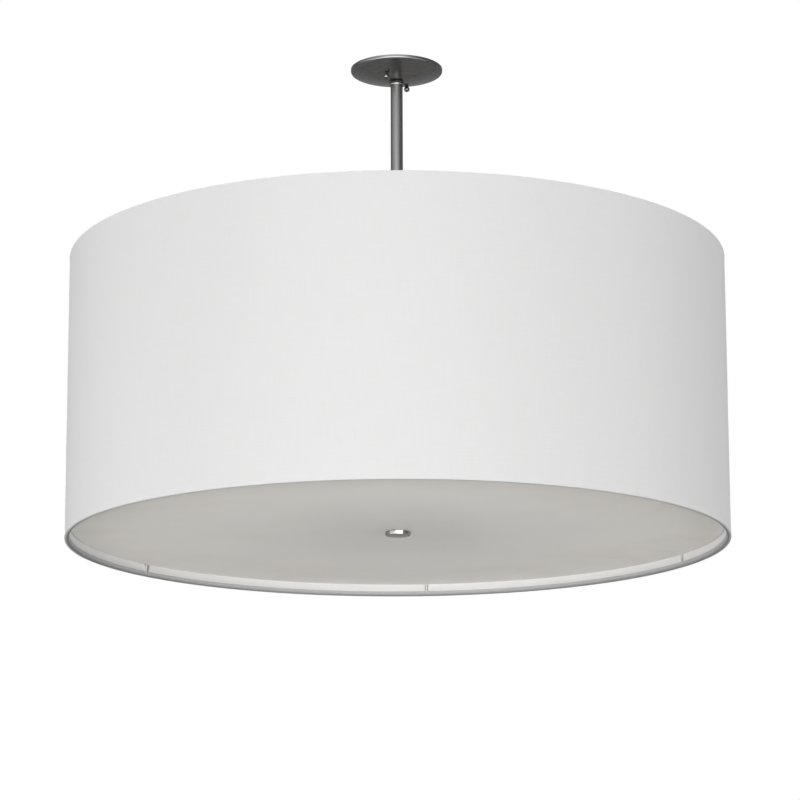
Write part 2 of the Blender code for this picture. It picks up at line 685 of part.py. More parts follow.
def rolled_edge(bead_height, up):
    """The linen's seen and hidden faces from the wall, round the ring and up inside the shade."""
    wall_inner = liner_inner - JOIN_GAP - LINEN_THICKNESS
    wall_outer = wall_inner + LINEN_THICKNESS
    lap_start = ring_wire_radius
    lap_back = LINEN_THICKNESS / 2
    hem_end = bead_height + up * (HEM_HEIGHT - bead_outside)
    centre = (bead_radius, bead_height)
    seen = arc(centre, bead_outside, 0, -180 * up, BEAD_STEPS) + [
        (hem_inner, bead_height + up * lap_start),
        (wall_inner, bead_height + up * (lap_start + wall_inner - hem_inner)),
        (wall_inner, hem_end),
    ]
    hidden = arc(centre, bead_inside, 0, -180 * up, BEAD_STEPS) + [
        (hem_outer, bead_height + up * (lap_start - lap_back)),
        (wall_outer, bead_height + up * (lap_start - lap_back + wall_outer - hem_outer)),
        (wall_outer, hem_end),
    ]
    return seen, hidden


def make_shade_skins(hanging):
    """The styrene liner, and the linen whose edges roll round both rings."""
    liner = sleeve(
        "shade_liner", liner_outer, liner_inner, lower_bead_height, upper_bead_height,
        "styrene", SHADE_FACETS,
    )
    put(liner, hanging, (0, 0, 0), turn_to(RIB_AZIMUTH))

    low_seen, low_hidden = rolled_edge(lower_bead_height, 1)
    top_seen, top_hidden = rolled_edge(upper_bead_height, -1)
    outline = low_seen + low_hidden[::-1] + top_hidden + top_seen[::-1]
    cover = turned("shade_cover", outline, "white_linen", SHADE_FACETS)
    put(cover, hanging, (0, 0, 0), turn_to(RIB_AZIMUTH))

    notch_inner = hem_inner - OVERRUN
    notch_outer = liner_inner - JOIN_GAP / 2
    notch_floor = ring_wire_radius - LINEN_THICKNESS
    notch_top = HEM_HEIGHT - bead_outside + OVERRUN
    size = (notch_outer - notch_inner, HEM_NOTCH_WIDTH, notch_top - notch_floor)
    notches = bmesh.new()
    for bead_height, up in ((lower_bead_height, 1), (upper_bead_height, -1)):
        middle = bead_height + up * (notch_floor + notch_top) / 2
        for number in range(RIB_COUNT):
            azimuth = RIB_AZIMUTH + 360.0 * number / RIB_COUNT
            place = Matrix.Translation(heading(azimuth, (notch_inner + notch_outer) / 2, middle))
            bmesh.ops.create_cube(
                notches, size=1.0, matrix=place @ turn_to(azimuth) @ Matrix.Diagonal((*size, 1.0)),
            )
    cut(cover, cutter("hem_notches", notches, hanging, (0, 0, 0)))


def make_diffuser(hanging, diffuser_slide, finial_turn):
    """The acrylic disc, its washer and stop nut on the rod, and the faceted finial below."""
    hub = FINIAL_HUB_DIAMETER / 2
    disc = sleeve(
        "diffuser", hem_inner - DIFFUSER_EDGE_CLEARANCE, hub + FINIAL_HUB_CLEARANCE,
        diffuser_bottom, diffuser_top, "opal_acrylic", SHADE_FACETS,
    )
    put(disc, diffuser_slide, (0, 0, 0), turn_to(RIB_AZIMUTH))

    pad_bottom = diffuser_top + JOIN_GAP
    pad_top = pad_bottom + DIFFUSER_WASHER_THICKNESS
    pad = sleeve(
        "diffuser_washer", DIFFUSER_WASHER_DIAMETER / 2, rod_hole_radius, pad_bottom, pad_top,
        "fibre", FITTING_FACETS,
    )
    put(pad, diffuser_slide, (0, 0, 0))
    hex_nut("diffuser_stop_nut", pad_top + JOIN_GAP, rod_hole_radius, hanging)

    corner = FINIAL_DIAMETER / 2
    bore = rod_hole_radius / math.cos(math.pi / FINIAL_SIDES)
    side_bottom = finial_top - FINIAL_SIDE_HEIGHT
    outline = [
        (0, finial_bottom),
        (corner - FINIAL_BEVEL, side_bottom),
        (corner, side_bottom + FINIAL_BEVEL),
        (corner, finial_top - FINIAL_BEVEL),
        (corner - FINIAL_BEVEL, finial_top),
        (hub, finial_top),
        (hub, diffuser_top - JOIN_GAP),
        (bore, diffuser_top - JOIN_GAP),
        (bore, finial_thread_floor),
        (0, finial_thread_floor),
    ]
    finial = turned("finial", outline, "polished_nickel", FINIAL_SIDES)
    put(finial, finial_turn, (0, 0, 0), turn_to(FINIAL_AZIMUTH))


def main():
    for old in list(bpy.data.objects):
        bpy.data.objects.remove(old)
    ceiling = pivot("ceiling", (0, 0, 0))
    hanging = pivot("stem_turn", (0, 0, ball_height), ceiling)
    canopy_slide = pivot("canopy_slide", (0, 0, 0), ceiling)
    diffuser_slide = pivot("diffuser_slide", (0, 0, diffuser_bottom), hanging)
    finial_turn = pivot("finial_turn", (0, 0, finial_top), diffuser_slide)

    make_crossbar(ceiling)
    make_swivel(ceiling, hanging)
    make_canopy(canopy_slide)
    make_ball_nut("ball_nut_near", CROSSBAR_AZIMUTH + 180, canopy_slide)
    make_ball_nut("ball_nut_far", CROSSBAR_AZIMUTH, canopy_slide)
    make_stem(hanging)
    make_spider(hanging)
    make_cluster(hanging)
    for number, azimuth in enumerate(lamp_azimuths(), start=1):
        make_lamp(number, azimuth, hanging)
    make_shade_frame(hanging)
    make_shade_skins(hanging)
    make_diffuser(hanging, diffuser_slide, finial_turn)


main()
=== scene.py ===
import math

import bmesh
import bpy
from mathutils import Matrix, Vector, noise


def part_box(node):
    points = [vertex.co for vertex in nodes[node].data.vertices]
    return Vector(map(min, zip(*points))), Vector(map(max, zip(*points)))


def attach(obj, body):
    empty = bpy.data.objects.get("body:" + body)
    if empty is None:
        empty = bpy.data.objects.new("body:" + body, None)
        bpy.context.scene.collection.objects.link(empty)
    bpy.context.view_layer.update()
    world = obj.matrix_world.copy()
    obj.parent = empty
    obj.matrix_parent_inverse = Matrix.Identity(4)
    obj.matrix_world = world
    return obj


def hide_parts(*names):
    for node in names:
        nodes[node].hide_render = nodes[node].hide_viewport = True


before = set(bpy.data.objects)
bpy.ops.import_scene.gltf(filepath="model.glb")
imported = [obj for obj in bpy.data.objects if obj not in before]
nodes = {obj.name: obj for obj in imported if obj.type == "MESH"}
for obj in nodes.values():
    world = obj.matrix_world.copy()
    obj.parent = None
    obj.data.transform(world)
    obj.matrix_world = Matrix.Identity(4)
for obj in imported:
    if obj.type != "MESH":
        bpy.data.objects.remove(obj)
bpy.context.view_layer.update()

# Drum pendant, dressed for its picture. Metres, +Z up, with the origin on the stem's axis at the ceiling.
mm = 0.001
scene = bpy.context.scene

# Angles are in degrees from +Y towards +X, seen from above.
ribAngles = [5.5 + 60 * k for k in range(6)]
armAngles = ribAngles[::2]
lampAngles = [65.5 + 120 * k for k in range(3)]
crossbarAngle = 27.0
sideAngles = {"near": crossbarAngle + 180, "far": crossbarAngle}
pipeHole = 5.2 * mm                 # radius of a hole that clears the lamp pipe


def linearColour(code):
    channels = [int(code[at:at + 2], 16) / 255 for at in (1, 3, 5)]
    return [c / 12.92 if c <= 0.04045 else ((c + 0.055) / 1.055) ** 2.4 for c in channels] + [1.0]


def addNode(tree, kind, settings=None, links=None):
    # A link comes from a socket, or from a node's first output.
    made = tree.nodes.new("ShaderNode" + kind)
    for name, value in (settings or {}).items():
        if isinstance(name, str) and hasattr(made, name):
            setattr(made, name, value)
        else:
            made.inputs[name].default_value = value
    for name, source in (links or {}).items():
        tree.links.new(getattr(source, "outputs", [source])[0], made.inputs[name])
    return made


def newMaterial(name, colour, roughness, metallic=0.0):
    made = bpy.data.materials.new(name)
    made.use_nodes = True
    shader = made.node_tree.nodes["Principled BSDF"]
    shader.inputs["Base Color"].default_value = linearColour(colour)
    shader.inputs["Roughness"].default_value = roughness
    shader.inputs["Metallic"].default_value = metallic
    return made, made.node_tree, shader


def spreadPattern(tree, shader, amount, look):
    # Lets a pattern's amount blend the two colours and, where the look has them, gloss and relief.
    first, second = (linearColour(code) for code in look["colours"])
    tint = addNode(tree, "Mix", {"data_type": "RGBA", 6: first, 7: second}, {0: amount})
    tree.links.new(tint.outputs[2], shader.inputs["Base Color"])
    if "gloss" in look:
        low, high = look["gloss"]
        gloss = addNode(tree, "MapRange", {"To Min": low, "To Max": high}, {"Value": amount})
        tree.links.new(gloss.outputs[0], shader.inputs["Roughness"])
    if "relief" in look:
        strength, depth = look["relief"]
        bump = addNode(tree, "Bump", {"Strength": strength, "Distance": depth}, {"Height": amount})
        tree.links.new(bump.outputs[0], shader.inputs["Normal"])


def grainyMaterial(name, look):
    # A surface with one grain all over, sized in mm.
    made, tree, shader = newMaterial(name, look["colours"][0], look["roughness"], look.get("metallic", 0.0))
    if "coat" in look:
        weight, coatRoughness = look["coat"]
        shader.inputs["Coat Weight"].default_value = weight
        shader.inputs["Coat Roughness"].default_value = coatRoughness
    place = addNode(tree, "TexCoord")
    grain = addNode(
        tree, "TexNoise",
        {"Scale": 1 / look["grainSize"], "Detail": look["detail"], "Roughness": look.get("coarseness", 0.5)},
        {"Vector": place.outputs["Object"]},
    )
    spreadPattern(tree, shader, grain, look)
    return made


def axisDistance(tree, place):
    # How far a point is from the piece's Z axis.
    flat = addNode(tree, "VectorMath", {"operation": "MULTIPLY", 1: (1, 1, 0)}, {0: place.outputs["Object"]})
    return addNode(tree, "VectorMath", {"operation": "LENGTH"}, {0: flat}).outputs["Value"]


# Plain-woven linen, laminated on a stiff sheet: flat and matt, with thicker threads that run
# both ways as faint streaks. Real threads are 0.55 mm apart, and they are drawn 1.3 mm apart
# here, because finer ones don't show in the picture. A grey band along the inside of each
# edge, where the cloth rolls round a ring, is painted shade for the dark underside of the bead.
linenLook = {
    "colour": "#EAEAEA",
    "slubColour": "#E7E7E6",
    # painted shade: the grey of the rolled bead's dark inside
    "paintedBeadShade": "#9C9C9B",
    "roughness": 0.88,
    "specular": 0.25,
    "threadSpacing": 1.3 * mm,
    "threadWander": {"Distortion": 0.6, "Detail": 1.0, "Detail Scale": 0.4},
    "slubLength": 38 * mm,
    "slubWidth": 1.2 * mm,
    "slubLevels": (0.85, 1.35),     # where a thicker thread starts to show, and shows wholly
    "reliefStrength": 0.2,
    "weaveDepth": 0.05 * mm,
}


def wovenLinen():
    look = linenLook
    made, tree, shader = newMaterial("linenPlainWoven", look["colour"], look["roughness"])
    shader.inputs["Specular IOR Level"].default_value = look["specular"]
    cloth = addNode(tree, "UVMap", {"uv_map": "cloth"})
    along, across = 1 / look["slubLength"], 1 / look["slubWidth"]
    slubs = []
    for scale in ((along, across, 1), (across, along, 1)):
        spread = addNode(tree, "Mapping", {"Scale": scale}, {"Vector": cloth})
        slubs.append(addNode(tree, "TexNoise", {"Scale": 1.0, "Detail": 2.0}, {"Vector": spread}))
    slubSum = addNode(tree, "Math", {"operation": "ADD"}, {0: slubs[0], 1: slubs[1]})
    start, full = look["slubLevels"]
    slubAmount = addNode(tree, "MapRange", {"From Min": start, "From Max": full}, {"Value": slubSum})
    tint = addNode(
        tree, "Mix",
        {"data_type": "RGBA", 6: linearColour(look["colour"]), 7: linearColour(look["slubColour"])},
        {0: slubAmount},
    )
    # Painted shade: grey the cloth along the inside of each edge, where the bead is dark.
    beadShadeMask = addNode(tree, "Attribute", {"attribute_name": "paintedBeadShade"})
    tint = addNode(
        tree, "Mix", {"data_type": "RGBA", 7: linearColour(look["paintedBeadShade"])},
        {0: beadShadeMask.outputs["Fac"], 6: tint.outputs[2]},
    )
    tree.links.new(tint.outputs[2], shader.inputs["Base Color"])
    # A wave texture has a band every pi / 10 / scale, and the weave needs one to two threads.
    bandScale = math.pi / 10 / look["threadSpacing"] / 2
    threads = [
        addNode(
            tree, "TexWave",
            {"bands_direction": direction, "Scale": bandScale, **look["threadWander"]},
            {"Vector": cloth},
        )
        for direction in ("X", "Y")
    ]
    weave = addNode(tree, "Math", {"operation": "MULTIPLY"}, {0: threads[0], 1: threads[1]})
    relief = addNode(tree, "Math", {"operation": "ADD"}, {0: weave, 1: slubSum})
    bump = addNode(
        tree, "Bump", {"Strength": look["reliefStrength"], "Distance": look["weaveDepth"]},
        {"Height": relief},
    )
    tree.links.new(bump.outputs[0], shader.inputs["Normal"])
    return made


# Cast opal acrylic, frosted on its lower face: light from above glows through it softly, the
# frost blurs what it mirrors, and faint brownish patches grow stronger towards its edge.
opalLook = {
    "colours": ("#D4CDC4", "#CCC3B5"),
    "roughness": 0.56,
    "gloss": (0.56, 0.68),
    "ior": 1.49,
    "reach": 45 * mm,               # how far light goes inside the sheet before it is scattered
    "reachByColour": (1.0, 0.98, 0.95),
    "radius": 449.4 * mm,
    "patchSize": 130 * mm,
    "patchLevels": (0.48, 0.72),   # where a patch starts, and is full
    "patchFrom": 0.62,             # share of the radius where patches get stronger
    "patchLeast": 0.25,            # their strength inside that
}


def castOpalAcrylic():
    look = opalLook
    made, tree, shader = newMaterial("acrylicOpalCast", look["colours"][0], look["roughness"])
    shader.inputs["IOR"].default_value = look["ior"]
    shader.inputs["Subsurface Weight"].default_value = 1.0
    shader.inputs["Subsurface Radius"].default_value = look["reachByColour"]
    shader.inputs["Subsurface Scale"].default_value = look["reach"]
    place = addNode(tree, "TexCoord")
    cloud = addNode(
        tree, "TexNoise", {"Scale": 1 / look["patchSize"], "Detail": 4.0, "Roughness": 0.55},
        {"Vector": place.outputs["Object"]},
    )
    rim, inside = look["radius"], look["radius"] * look["patchFrom"]
    edge = addNode(
        tree, "MapRange", {"From Min": inside, "From Max": rim, "To Min": look["patchLeast"]},
        {"Value": axisDistance(tree, place)},
    )
    start, full = look["patchLevels"]
    patches = addNode(tree, "MapRange", {"From Min": start, "From Max": full}, {"Value": cloud})
    amount = addNode(tree, "Math", {"operation": "MULTIPLY"}, {0: edge, 1: patches})
    spreadPattern(tree, shader, amount, look)
    return made


# Satin nickel plate over steel, dark and neutral. Spinning leaves rings on the canopy, and
# drawing leaves lines down the stem, 0.3 mm apart and drawn 0.8 mm apart so that they show.
satinLook = {
    "lineSpacing": 0.8 * mm,
    "lineStretch": 0.02,            # how slowly a drawn line changes along the tube
    "relief": (0.12, 0.02 * mm),
    "spun": {"colours": ("#717273", "#797A7B"), "roughness": 0.27, "gloss": (0.23, 0.31)},
    "drawn": {"colours": ("#757574", "#7D7D7C"), "roughness": 0.34, "gloss": (0.30, 0.38)},
}


def satinNickel(name, working):
    look = {**satinLook, **satinLook[working]}
    made, tree, shader = newMaterial(name, look["colours"][1], look["roughness"], 1.0)
    place = addNode(tree, "TexCoord")
    if working == "spun":
        lines = addNode(tree, "CombineXYZ", links={"X": axisDistance(tree, place)})
    else:
        lines = addNode(
            tree, "VectorMath", {"operation": "MULTIPLY", 1: (1, 1, look["lineStretch"])},
            {0: place.outputs["Object"]},
        )
    spread = addNode(tree, "Mapping", {"Scale": [1 / look["lineSpacing"]] * 3}, {"Vector": lines})
    grain = addNode(tree, "TexNoise", {"Scale": 1.0, "Detail": 3.0}, {"Vector": spread})
    spreadPattern(tree, shader, grain, look)
    return made


# Polished nickel plate: a clear mirror with hair-fine wiping marks that only blur it a little.
# The ball nuts get a darker copy of it, as painted shade.
polishedLook = {
    "roughness": 0.12,
    "gloss": (0.06, 0.18),
    "marksPerMetre": (60, 900, 400),
}


def polishedNickel(name, colours):
    look = {**polishedLook, "colours": colours}
    made, tree, shader = newMaterial(name, colours[0], look["roughness"], 1.0)
    place = addNode(tree, "TexCoord")
    wiped = addNode(tree, "Mapping", {"Scale": look["marksPerMetre"]}, {"Vector": place.outputs["Object"]})
    marks = addNode(tree, "TexNoise", {"Scale": 1.0, "Detail": 4.0}, {"Vector": wiped})
    spreadPattern(tree, shader, marks, look)
    return made


# Extruded white styrene sheet: smooth and satin, with a faint cloudiness where it was laminated.
styreneLook = {
    "colours": ("#F1F1EF", "#E8E8E5"), "roughness": 0.45, "gloss": (0.38, 0.52),
    "grainSize": 45.4545 * mm, "detail": 3.0,
}

# Zinc plate: dull and bright by turns, in soft patches about 4 mm across. It is passivated
# clear, dyed black on the canopy's studs and green on the ground screw. The lamps' nickelled
# caps weather in the same patches.
zincLook = {
    "roughness": 0.42, "metallic": 1.0, "gloss": (0.3, 0.52),
    "grainSize": 4 * mm, "detail": 3.0,
}

# White powder coat baked on steel: a soft gloss with an orange-peel skin, 1.5 mm from lump to lump.
enamelLook = {
    "colours": ("#E9E9E6", "#EFEFEC"), "roughness": 0.38, "relief": (0.2, 0.05 * mm),
    "grainSize": 1.5 * mm, "detail": 1.0,
}

# Moulded black rubber: matt, with a fine grain and a little grey bloom.
rubberLook = {
    "colours": ("#131313", "#1F1F1E"), "roughness": 0.72, "relief": (0.3, 0.05 * mm),
    "grainSize": 2 * mm, "detail": 4.0,
}

# Vulcanised fibre, punched from sheet: dry and brown-grey, flecked with pressed cotton.
fibreLook = {
    "colours": ("#84694C", "#B39A7C"), "roughness": 0.85,
    "grainSize": 0.9 * mm, "detail": 4.0, "coarseness": 0.7,
}

# Glazed pressed porcelain: warm white under clear glaze that pools a little and shines.
porcelainLook = {
    "colours": ("#E3DFD5", "#ECEAE2"), "roughness": 0.3, "coat": (0.8, 0.06), "relief": (0.15, 0.3 * mm),
    "grainSize": 9 * mm, "detail": 2.0,
}

# Blown lamp glass, frosted inside: an even milky white under a clear outer skin.
lampGlassLook = {
    "colours": ("#EAE9E4", "#F4F3EF"), "roughness": 0.35, "coat": (1.0, 0.03),
    "grainSize": 6 * mm, "detail": 3.0,
}

# Each finish is a material and the name of its slot.
linen = wovenLinen(), "white_linen"
opal = castOpalAcrylic(), "opal_acrylic"
spunNickel = satinNickel("nickelSatinSpun", "spun"), "satin_nickel"
drawnNickel = satinNickel("nickelSatinDrawn", "drawn"), "satin_nickel"
brightNickel = polishedNickel("nickelPolished", ("#A19F9C", "#ACAAA7")), "polished_nickel"
# Painted shade: the ball nuts' darker copy of the polished nickel.
shadedNickel = polishedNickel("nickelPolishedShaded", ("#626260", "#6C6C6A")), "polished_nickel"
styrene = grainyMaterial("styreneExtruded", styreneLook), "styrene"
zinc = grainyMaterial("zincPlateClear", {**zincLook, "colours": ("#B9B9B4", "#A5A6A3")}), "zinc_steel"
blackZinc = grainyMaterial("zincPlateBlack", {**zincLook, "colours": ("#343434", "#262626")}), "zinc_steel"
dyedLook = {**zincLook, "colours": ("#3F7F4C", "#2F6A3D")}
greenZinc = grainyMaterial("zincPlateGreenDyed", dyedLook), "green_screw"
capMetal = grainyMaterial("lampCapNickelled", {**zincLook, "colours": ("#BDB8AC", "#A9A598")}), "zinc_steel"
enamel = grainyMaterial("powderCoatBaked", enamelLook), "white_enamel"
rubber = grainyMaterial("rubberMoulded", rubberLook), "black_rubber"
fibre = grainyMaterial("fibreVulcanised", fibreLook), "fibre"
porcelain = grainyMaterial("porcelainGlazed", porcelainLook), "porcelain"
lampGlass = grainyMaterial("glassBlownFrosted", lampGlassLook), "frosted_glass"
print("materials:", len(bpy.data.materials))


def easedCorners(outline, radius, steps=3, closed=True):
    # Swaps each corner of a (radius, height) outline for a small curve.
    made = []
    last = len(outline) - 1
    for at, corner in enumerate(outline):
        if not closed and at in (0, last):
            made.append(corner)
            continue
        here = Vector(corner)
        before, after = Vector(outline[at - 1]), Vector(outline[(at + 1) % len(outline)])
        start = here + (before - here).normalized() * min(radius, (before - here).length * 0.45)
        end = here + (after - here).normalized() * min(radius, (after - here).length * 0.45)
        for step in range(steps + 1):
            t = step / steps
            made.append(tuple(start * (1 - t) ** 2 + here * 2 * t * (1 - t) + end * t ** 2))
    return made


def arcPoints(centre, radius, start, end, steps):
    # Points on an arc in the (radius, height) plane: 0 degrees is outward and 90 is up.
    angles = [math.radians(start + (end - start) * step / steps) for step in range(steps + 1)]
    return [(centre[0] + radius * math.cos(a), centre[1] + radius * math.sin(a)) for a in angles]


def rodOutline(radius, bottom, top, ease):
    return easedCorners([(0, bottom), (radius, bottom), (radius, top), (0, top)], ease, closed=False)


def ringOutline(hole, outer, bottom, top, ease, steps=3):
    return easedCorners([(hole, bottom), (outer, bottom), (outer, top), (hole, top)], ease, steps)


def threaded(radius, pitch, depth, bottom, top):
    # Crests and roots of a thread, as an outline from the bottom up.
    count = max(1, round((top - bottom) / pitch))
    step = (top - bottom) / count
    made = []
    for turn in range(count):
        made += [(radius - depth, bottom + step * turn), (radius, bottom + step * (turn + 0.5))]
    return made + [(radius - depth, top)]


def smoothStep(t):
    t = min(1.0, max(0.0, t))
    return t * t * (3 - 2 * t)


def changeMesh(mesh, change):
    bm = bmesh.new()
    bm.from_mesh(mesh)
    change(bm)
    bm.to_mesh(mesh)
    bm.free()


def smoothMesh(mesh, sharpAngle=35):
    mesh.shade_smooth()
    mesh.set_sharp_from_angle(angle=math.radians(sharpAngle))


def finishedMesh(mesh, sharpAngle=35):
    changeMesh(mesh, lambda bm: bmesh.ops.recalc_face_normals(bm, faces=bm.faces))
    smoothMesh(mesh, sharpAngle)
    return mesh


def turnedMesh(name, outline, steps, sharpAngle=35):
    # A solid of revolution about Z. An outline that starts and ends on the axis isn't closed.
    closed = outline[0][0] > 0 or outline[-1][0] > 0
    points, rings, faces = [], [], []
    for radius, height in outline:
        if radius <= 0:
            rings.append([len(points)] * steps)
            points.append((0, 0, height))
            continue
        rings.append(list(range(len(points), len(points) + steps)))
        for step in range(steps):
            angle = math.tau * step / steps
            points.append((radius * math.cos(angle), radius * math.sin(angle), height))
    pairs = list(zip(rings, rings[1:])) + ([(rings[-1], rings[0])] if closed else [])
    for low, high in pairs:
        for step in range(steps):
            after = (step + 1) % steps
            corners = [low[step], low[after], high[after], high[step]]
            face = [c for at, c in enumerate(corners) if c not in corners[:at]]
            if len(face) > 2:
                faces.append(face)
    mesh = bpy.data.meshes.new(name)
    mesh.from_pydata(points, [], faces)
    return finishedMesh(mesh, sharpAngle)


def easeEdges(bm, width, leastAngle):
    least = math.radians(leastAngle)
    sharp = [e for e in bm.edges if len(e.link_faces) == 2 and e.calc_face_angle() > least]
    bmesh.ops.bevel(
        bm, geom=sharp, offset=width, segments=2, profile=0.5, affect="EDGES", clamp_overlap=True,
    )


def bevelledMesh(node, width):
    # A node's own shape with its sharp edges eased.
    source = nodes[node].data

    def build(bm):
        points = [bm.verts.new(v.co) for v in source.vertices]
        bm.verts.index_update()
        for polygon in source.polygons:
            bm.faces.new([points[i] for i in polygon.vertices])
        bmesh.ops.remove_doubles(bm, verts=bm.verts, dist=0.001 * mm)
        bmesh.ops.dissolve_limit(bm, angle_limit=math.radians(1), verts=bm.verts, edges=bm.edges)
        easeEdges(bm, width, 30)

    mesh = bpy.data.meshes.new(node)
    changeMesh(mesh, build)
    return finishedMesh(mesh)


def addPiece(name, mesh, finish, body, node=None, place=None):
    # A piece with a node's name stands in that node's place.
    piece = bpy.data.objects.new(name, mesh)
    scene.collection.objects.link(piece)
    if place:
        piece.matrix_world = place
    material, slot = finish
    mesh.materials.append(material)
    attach(piece, body)
    if node:
        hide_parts(node)
    return piece


def addTurned(name, outline, steps, finish, body, node=None, place=None, sharpAngle=35):
    return addPiece(name, turnedMesh(name, outline, steps, sharpAngle), finish, body, node, place)


def addSleeve(name, node, hole, finish, body, ease=0.3 * mm, steps=72):
    # A plain ring, tube or washer with the node's own outer size and height.
    low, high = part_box(node)
    outline = ringOutline(hole, (high.x - low.x) / 2, low.z, high.z, ease)
    addTurned(name, outline, steps, finish, body, node)


def applyModifiers(piece, sharpAngle=35):
    depsgraph = bpy.context.evaluated_depsgraph_get()
    made = bpy.data.meshes.new_from_object(piece.evaluated_get(depsgraph))
    piece.modifiers.clear()
    piece.data = made
    smoothMesh(made, sharpAngle)


def drillHoles(piece, places, radius, depth):
    def addCylinders(bm):
        for place in places:
            bmesh.ops.create_cone(
                bm, cap_ends=True, segments=32, radius1=radius, radius2=radius, depth=depth, matrix=place,
            )

    drill = bpy.data.meshes.new("drill")
    changeMesh(drill, addCylinders)
    tool = bpy.data.objects.new("drill", drill)
    scene.collection.objects.link(tool)
    cut = piece.modifiers.new("holes", "BOOLEAN")
    cut.object = tool
    bpy.context.view_layer.update()
    applyModifiers(piece)
    bpy.data.objects.remove(tool)


def pointAt(angle, radius, height=0.0):
    a = math.radians(angle)
    return Vector((radius * math.sin(a), radius * math.cos(a), height))


def uprightPlace(angle, radius, height=0.0):
    return Matrix.Translation(pointAt(angle, radius, height))


def outwardPlace(angle, radius, height):
    # Lays a turned piece level, with its +Z pointing outward along an angle.
    turn = Matrix.Rotation(math.radians(90 - angle), 4, "Z") @ Matrix.Rotation(math.pi / 2, 4, "Y")
    return uprightPlace(angle, radius, height) @ turn


# The linen cover is one sheet: down the wall, round both rings and up inside as a hem that is
# cut and folded back at each rib. A rise is a height above the lower edge or below the upper.
cover = {
    "radius": 457.2 * mm,
    "thickness": 0.5 * mm,
    "wallShares": (1, 0.86, 0.72, 0.58, 0.44, 0.32, 0.22, 0.14, 0.09),
    # The wall is drawn in a little above its edge and swells just before the fold:
    # rise and way out, in mm.
    "edge": [
        (13, 0), (10.5, -0.03), (8.6, -0.09), (6.8, -0.12), (5.2, -0.08), (4.0, 0.0), (3.0, 0.14),
        (2.2, 0.32), (1.5, 0.44), (0.95, 0.46), (0.5, 0.34), (0.2, 0.08), (0.04, -0.35), (0, -1.0), (0, -2.0),
    ],
    "topSwell": 0.3,                # how much of that swelling the upper edge has
    "beadFrom": 4.5,                # rise in mm below which the edge counts as the bead
    "beadCentre": 454.1 * mm,
    "beadInner": 450.6 * mm,
    "beadRise": 5.2 * mm,           # height of the round inner side
    "ribDent": (0.3 * mm, 2.2 * mm),    # depth and reach of the bead's dent at each rib
    "hemLean": 1.6 * mm,            # the hem leans back a little towards the ribs
    "hemHeight": 18 * mm,
    "hemShares": (0.06, 0.13, 0.21, 0.30, 0.39, 0.48, 0.57, 0.66, 0.75, 0.84, 0.92, 1.0),
    # Painted shade greys the bead's inside. It starts at one distance inside the wall and is full
    # at the next. It is darkest at the edge, faint from the faint rise, and gone above the band.
    "beadShadeInset": (1.5 * mm, 3.0 * mm),
    "beadShadeBand": (6.4 * mm, 7.2 * mm),
    "beadShadeFaint": 0.62,
    "beadShadeFaintRise": 4 * mm,
    "notchFrom": 5.6 * mm,          # rise where the cut at a rib starts
    "notchHalfWidth": 2.0 * mm,
    "notchReach": 15 * mm,          # how far along the hem a cut moves it
    # Each rib's cut, in mm, for the left and the right flap seen from inside: half the opening
    # at the top, curl away from the liner, reach of the curl, and how much the corner is rounded.
    "notches": [
        ((2.1, 1.3, 1.6, 3.0), (2.9, 0.7, 2.5, 1.0)),
        ((2.2, 1.9, 2.2, 6.5), (3.0, 0.3, 3.0, 0.5)),
        ((2.8, 1.2, 2.4, 2.0), (2.3, 1.4, 2.0, 3.5)),
        ((2.4, 0.6, 3.0, 1.0), (3.6, 1.5, 2.2, 4.0)),
        ((3.3, 1.3, 2.0, 4.5), (2.2, 0.9, 2.8, 1.5)),
        ((6.0, 1.2, 2.4, 2.5), (4.2, 1.8, 1.9, 0.0)),
    ],
    "topNotchShift": 2,             # the upper hem has the same cuts, this many ribs on
    "curlHaste": 1.4,               # a flap is fully curled this much sooner than its top
    "cornerReach": 2.6 * mm,
    "seamAngle": 20.0,
    "seamStep": 0.55 * mm,
    "seamFade": 45 * mm,
    "seamLap": 14 * mm,
    # Where the columns of points stand closer, in mm from a cut's edge and from the seam.
    "ribColumns": (0.35, 0.75, 1.2, 1.7, 2.3, 3.0, 3.8, 4.8, 6.0, 7.6, 9.6, 12, 15),
    "seamColumns": (-9, -5, -2.5, -1, -0.3, 0, 0.3, 1, 2.5, 5, 9),
    "columnStep": 1.2,              # degrees between the others
    # Unevenness of the cloth: its depth, and how many waves there are to the metre.
    "waves": {"wall": (0.22 * mm, 11), "bead": (0.22 * mm, 28), "hem": (0.35 * mm, 40)},
    "hemWaveRise": (5 * mm, 11 * mm),   # where the hem's waves start, and are full
}
coverLow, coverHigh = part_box("shade_cover")


def coverSection():
    # (radius, rise, kind) from the middle of the wall, round the wire, to the end of the hem.
    r, inner, centre = cover["radius"], cover["beadInner"], cover["beadCentre"]
    start, lean = cover["notchFrom"], cover["hemLean"]
    middle = (coverHigh.z - coverLow.z) / 2
    rows = [(r, middle * share, "wall") for share in cover["wallShares"]]
    for rise, out in cover["edge"]:
        rows.append((r + out * mm, rise * mm, "wall" if rise > cover["beadFrom"] else "bead"))
    for step in range(9):
        a = math.pi / 2 * step / 8
        rows.append((centre - (centre - inner) * math.sin(a), cover["beadRise"] * (1 - math.cos(a)), "bead"))
    rows.append((inner, start, "hem"))
    for share in cover["hemShares"]:
        rows.append((inner + lean * share, start + (cover["hemHeight"] - start) * share, "hem"))
    return rows


def coverPath():
    # (radius, height, kind, rise, nearer edge) from the upper hem's end to the lower hem's end.
    section, flat = coverSection(), cover["radius"]
    path = [
        (flat + (r - flat) * cover["topSwell"] if r > flat else r, coverHigh.z - rise, kind, rise, "top")
        for r, rise, kind in reversed(section)
    ]
    return path + [(r, coverLow.z + rise, kind, rise, "bottom") for r, rise, kind in section[1:]]


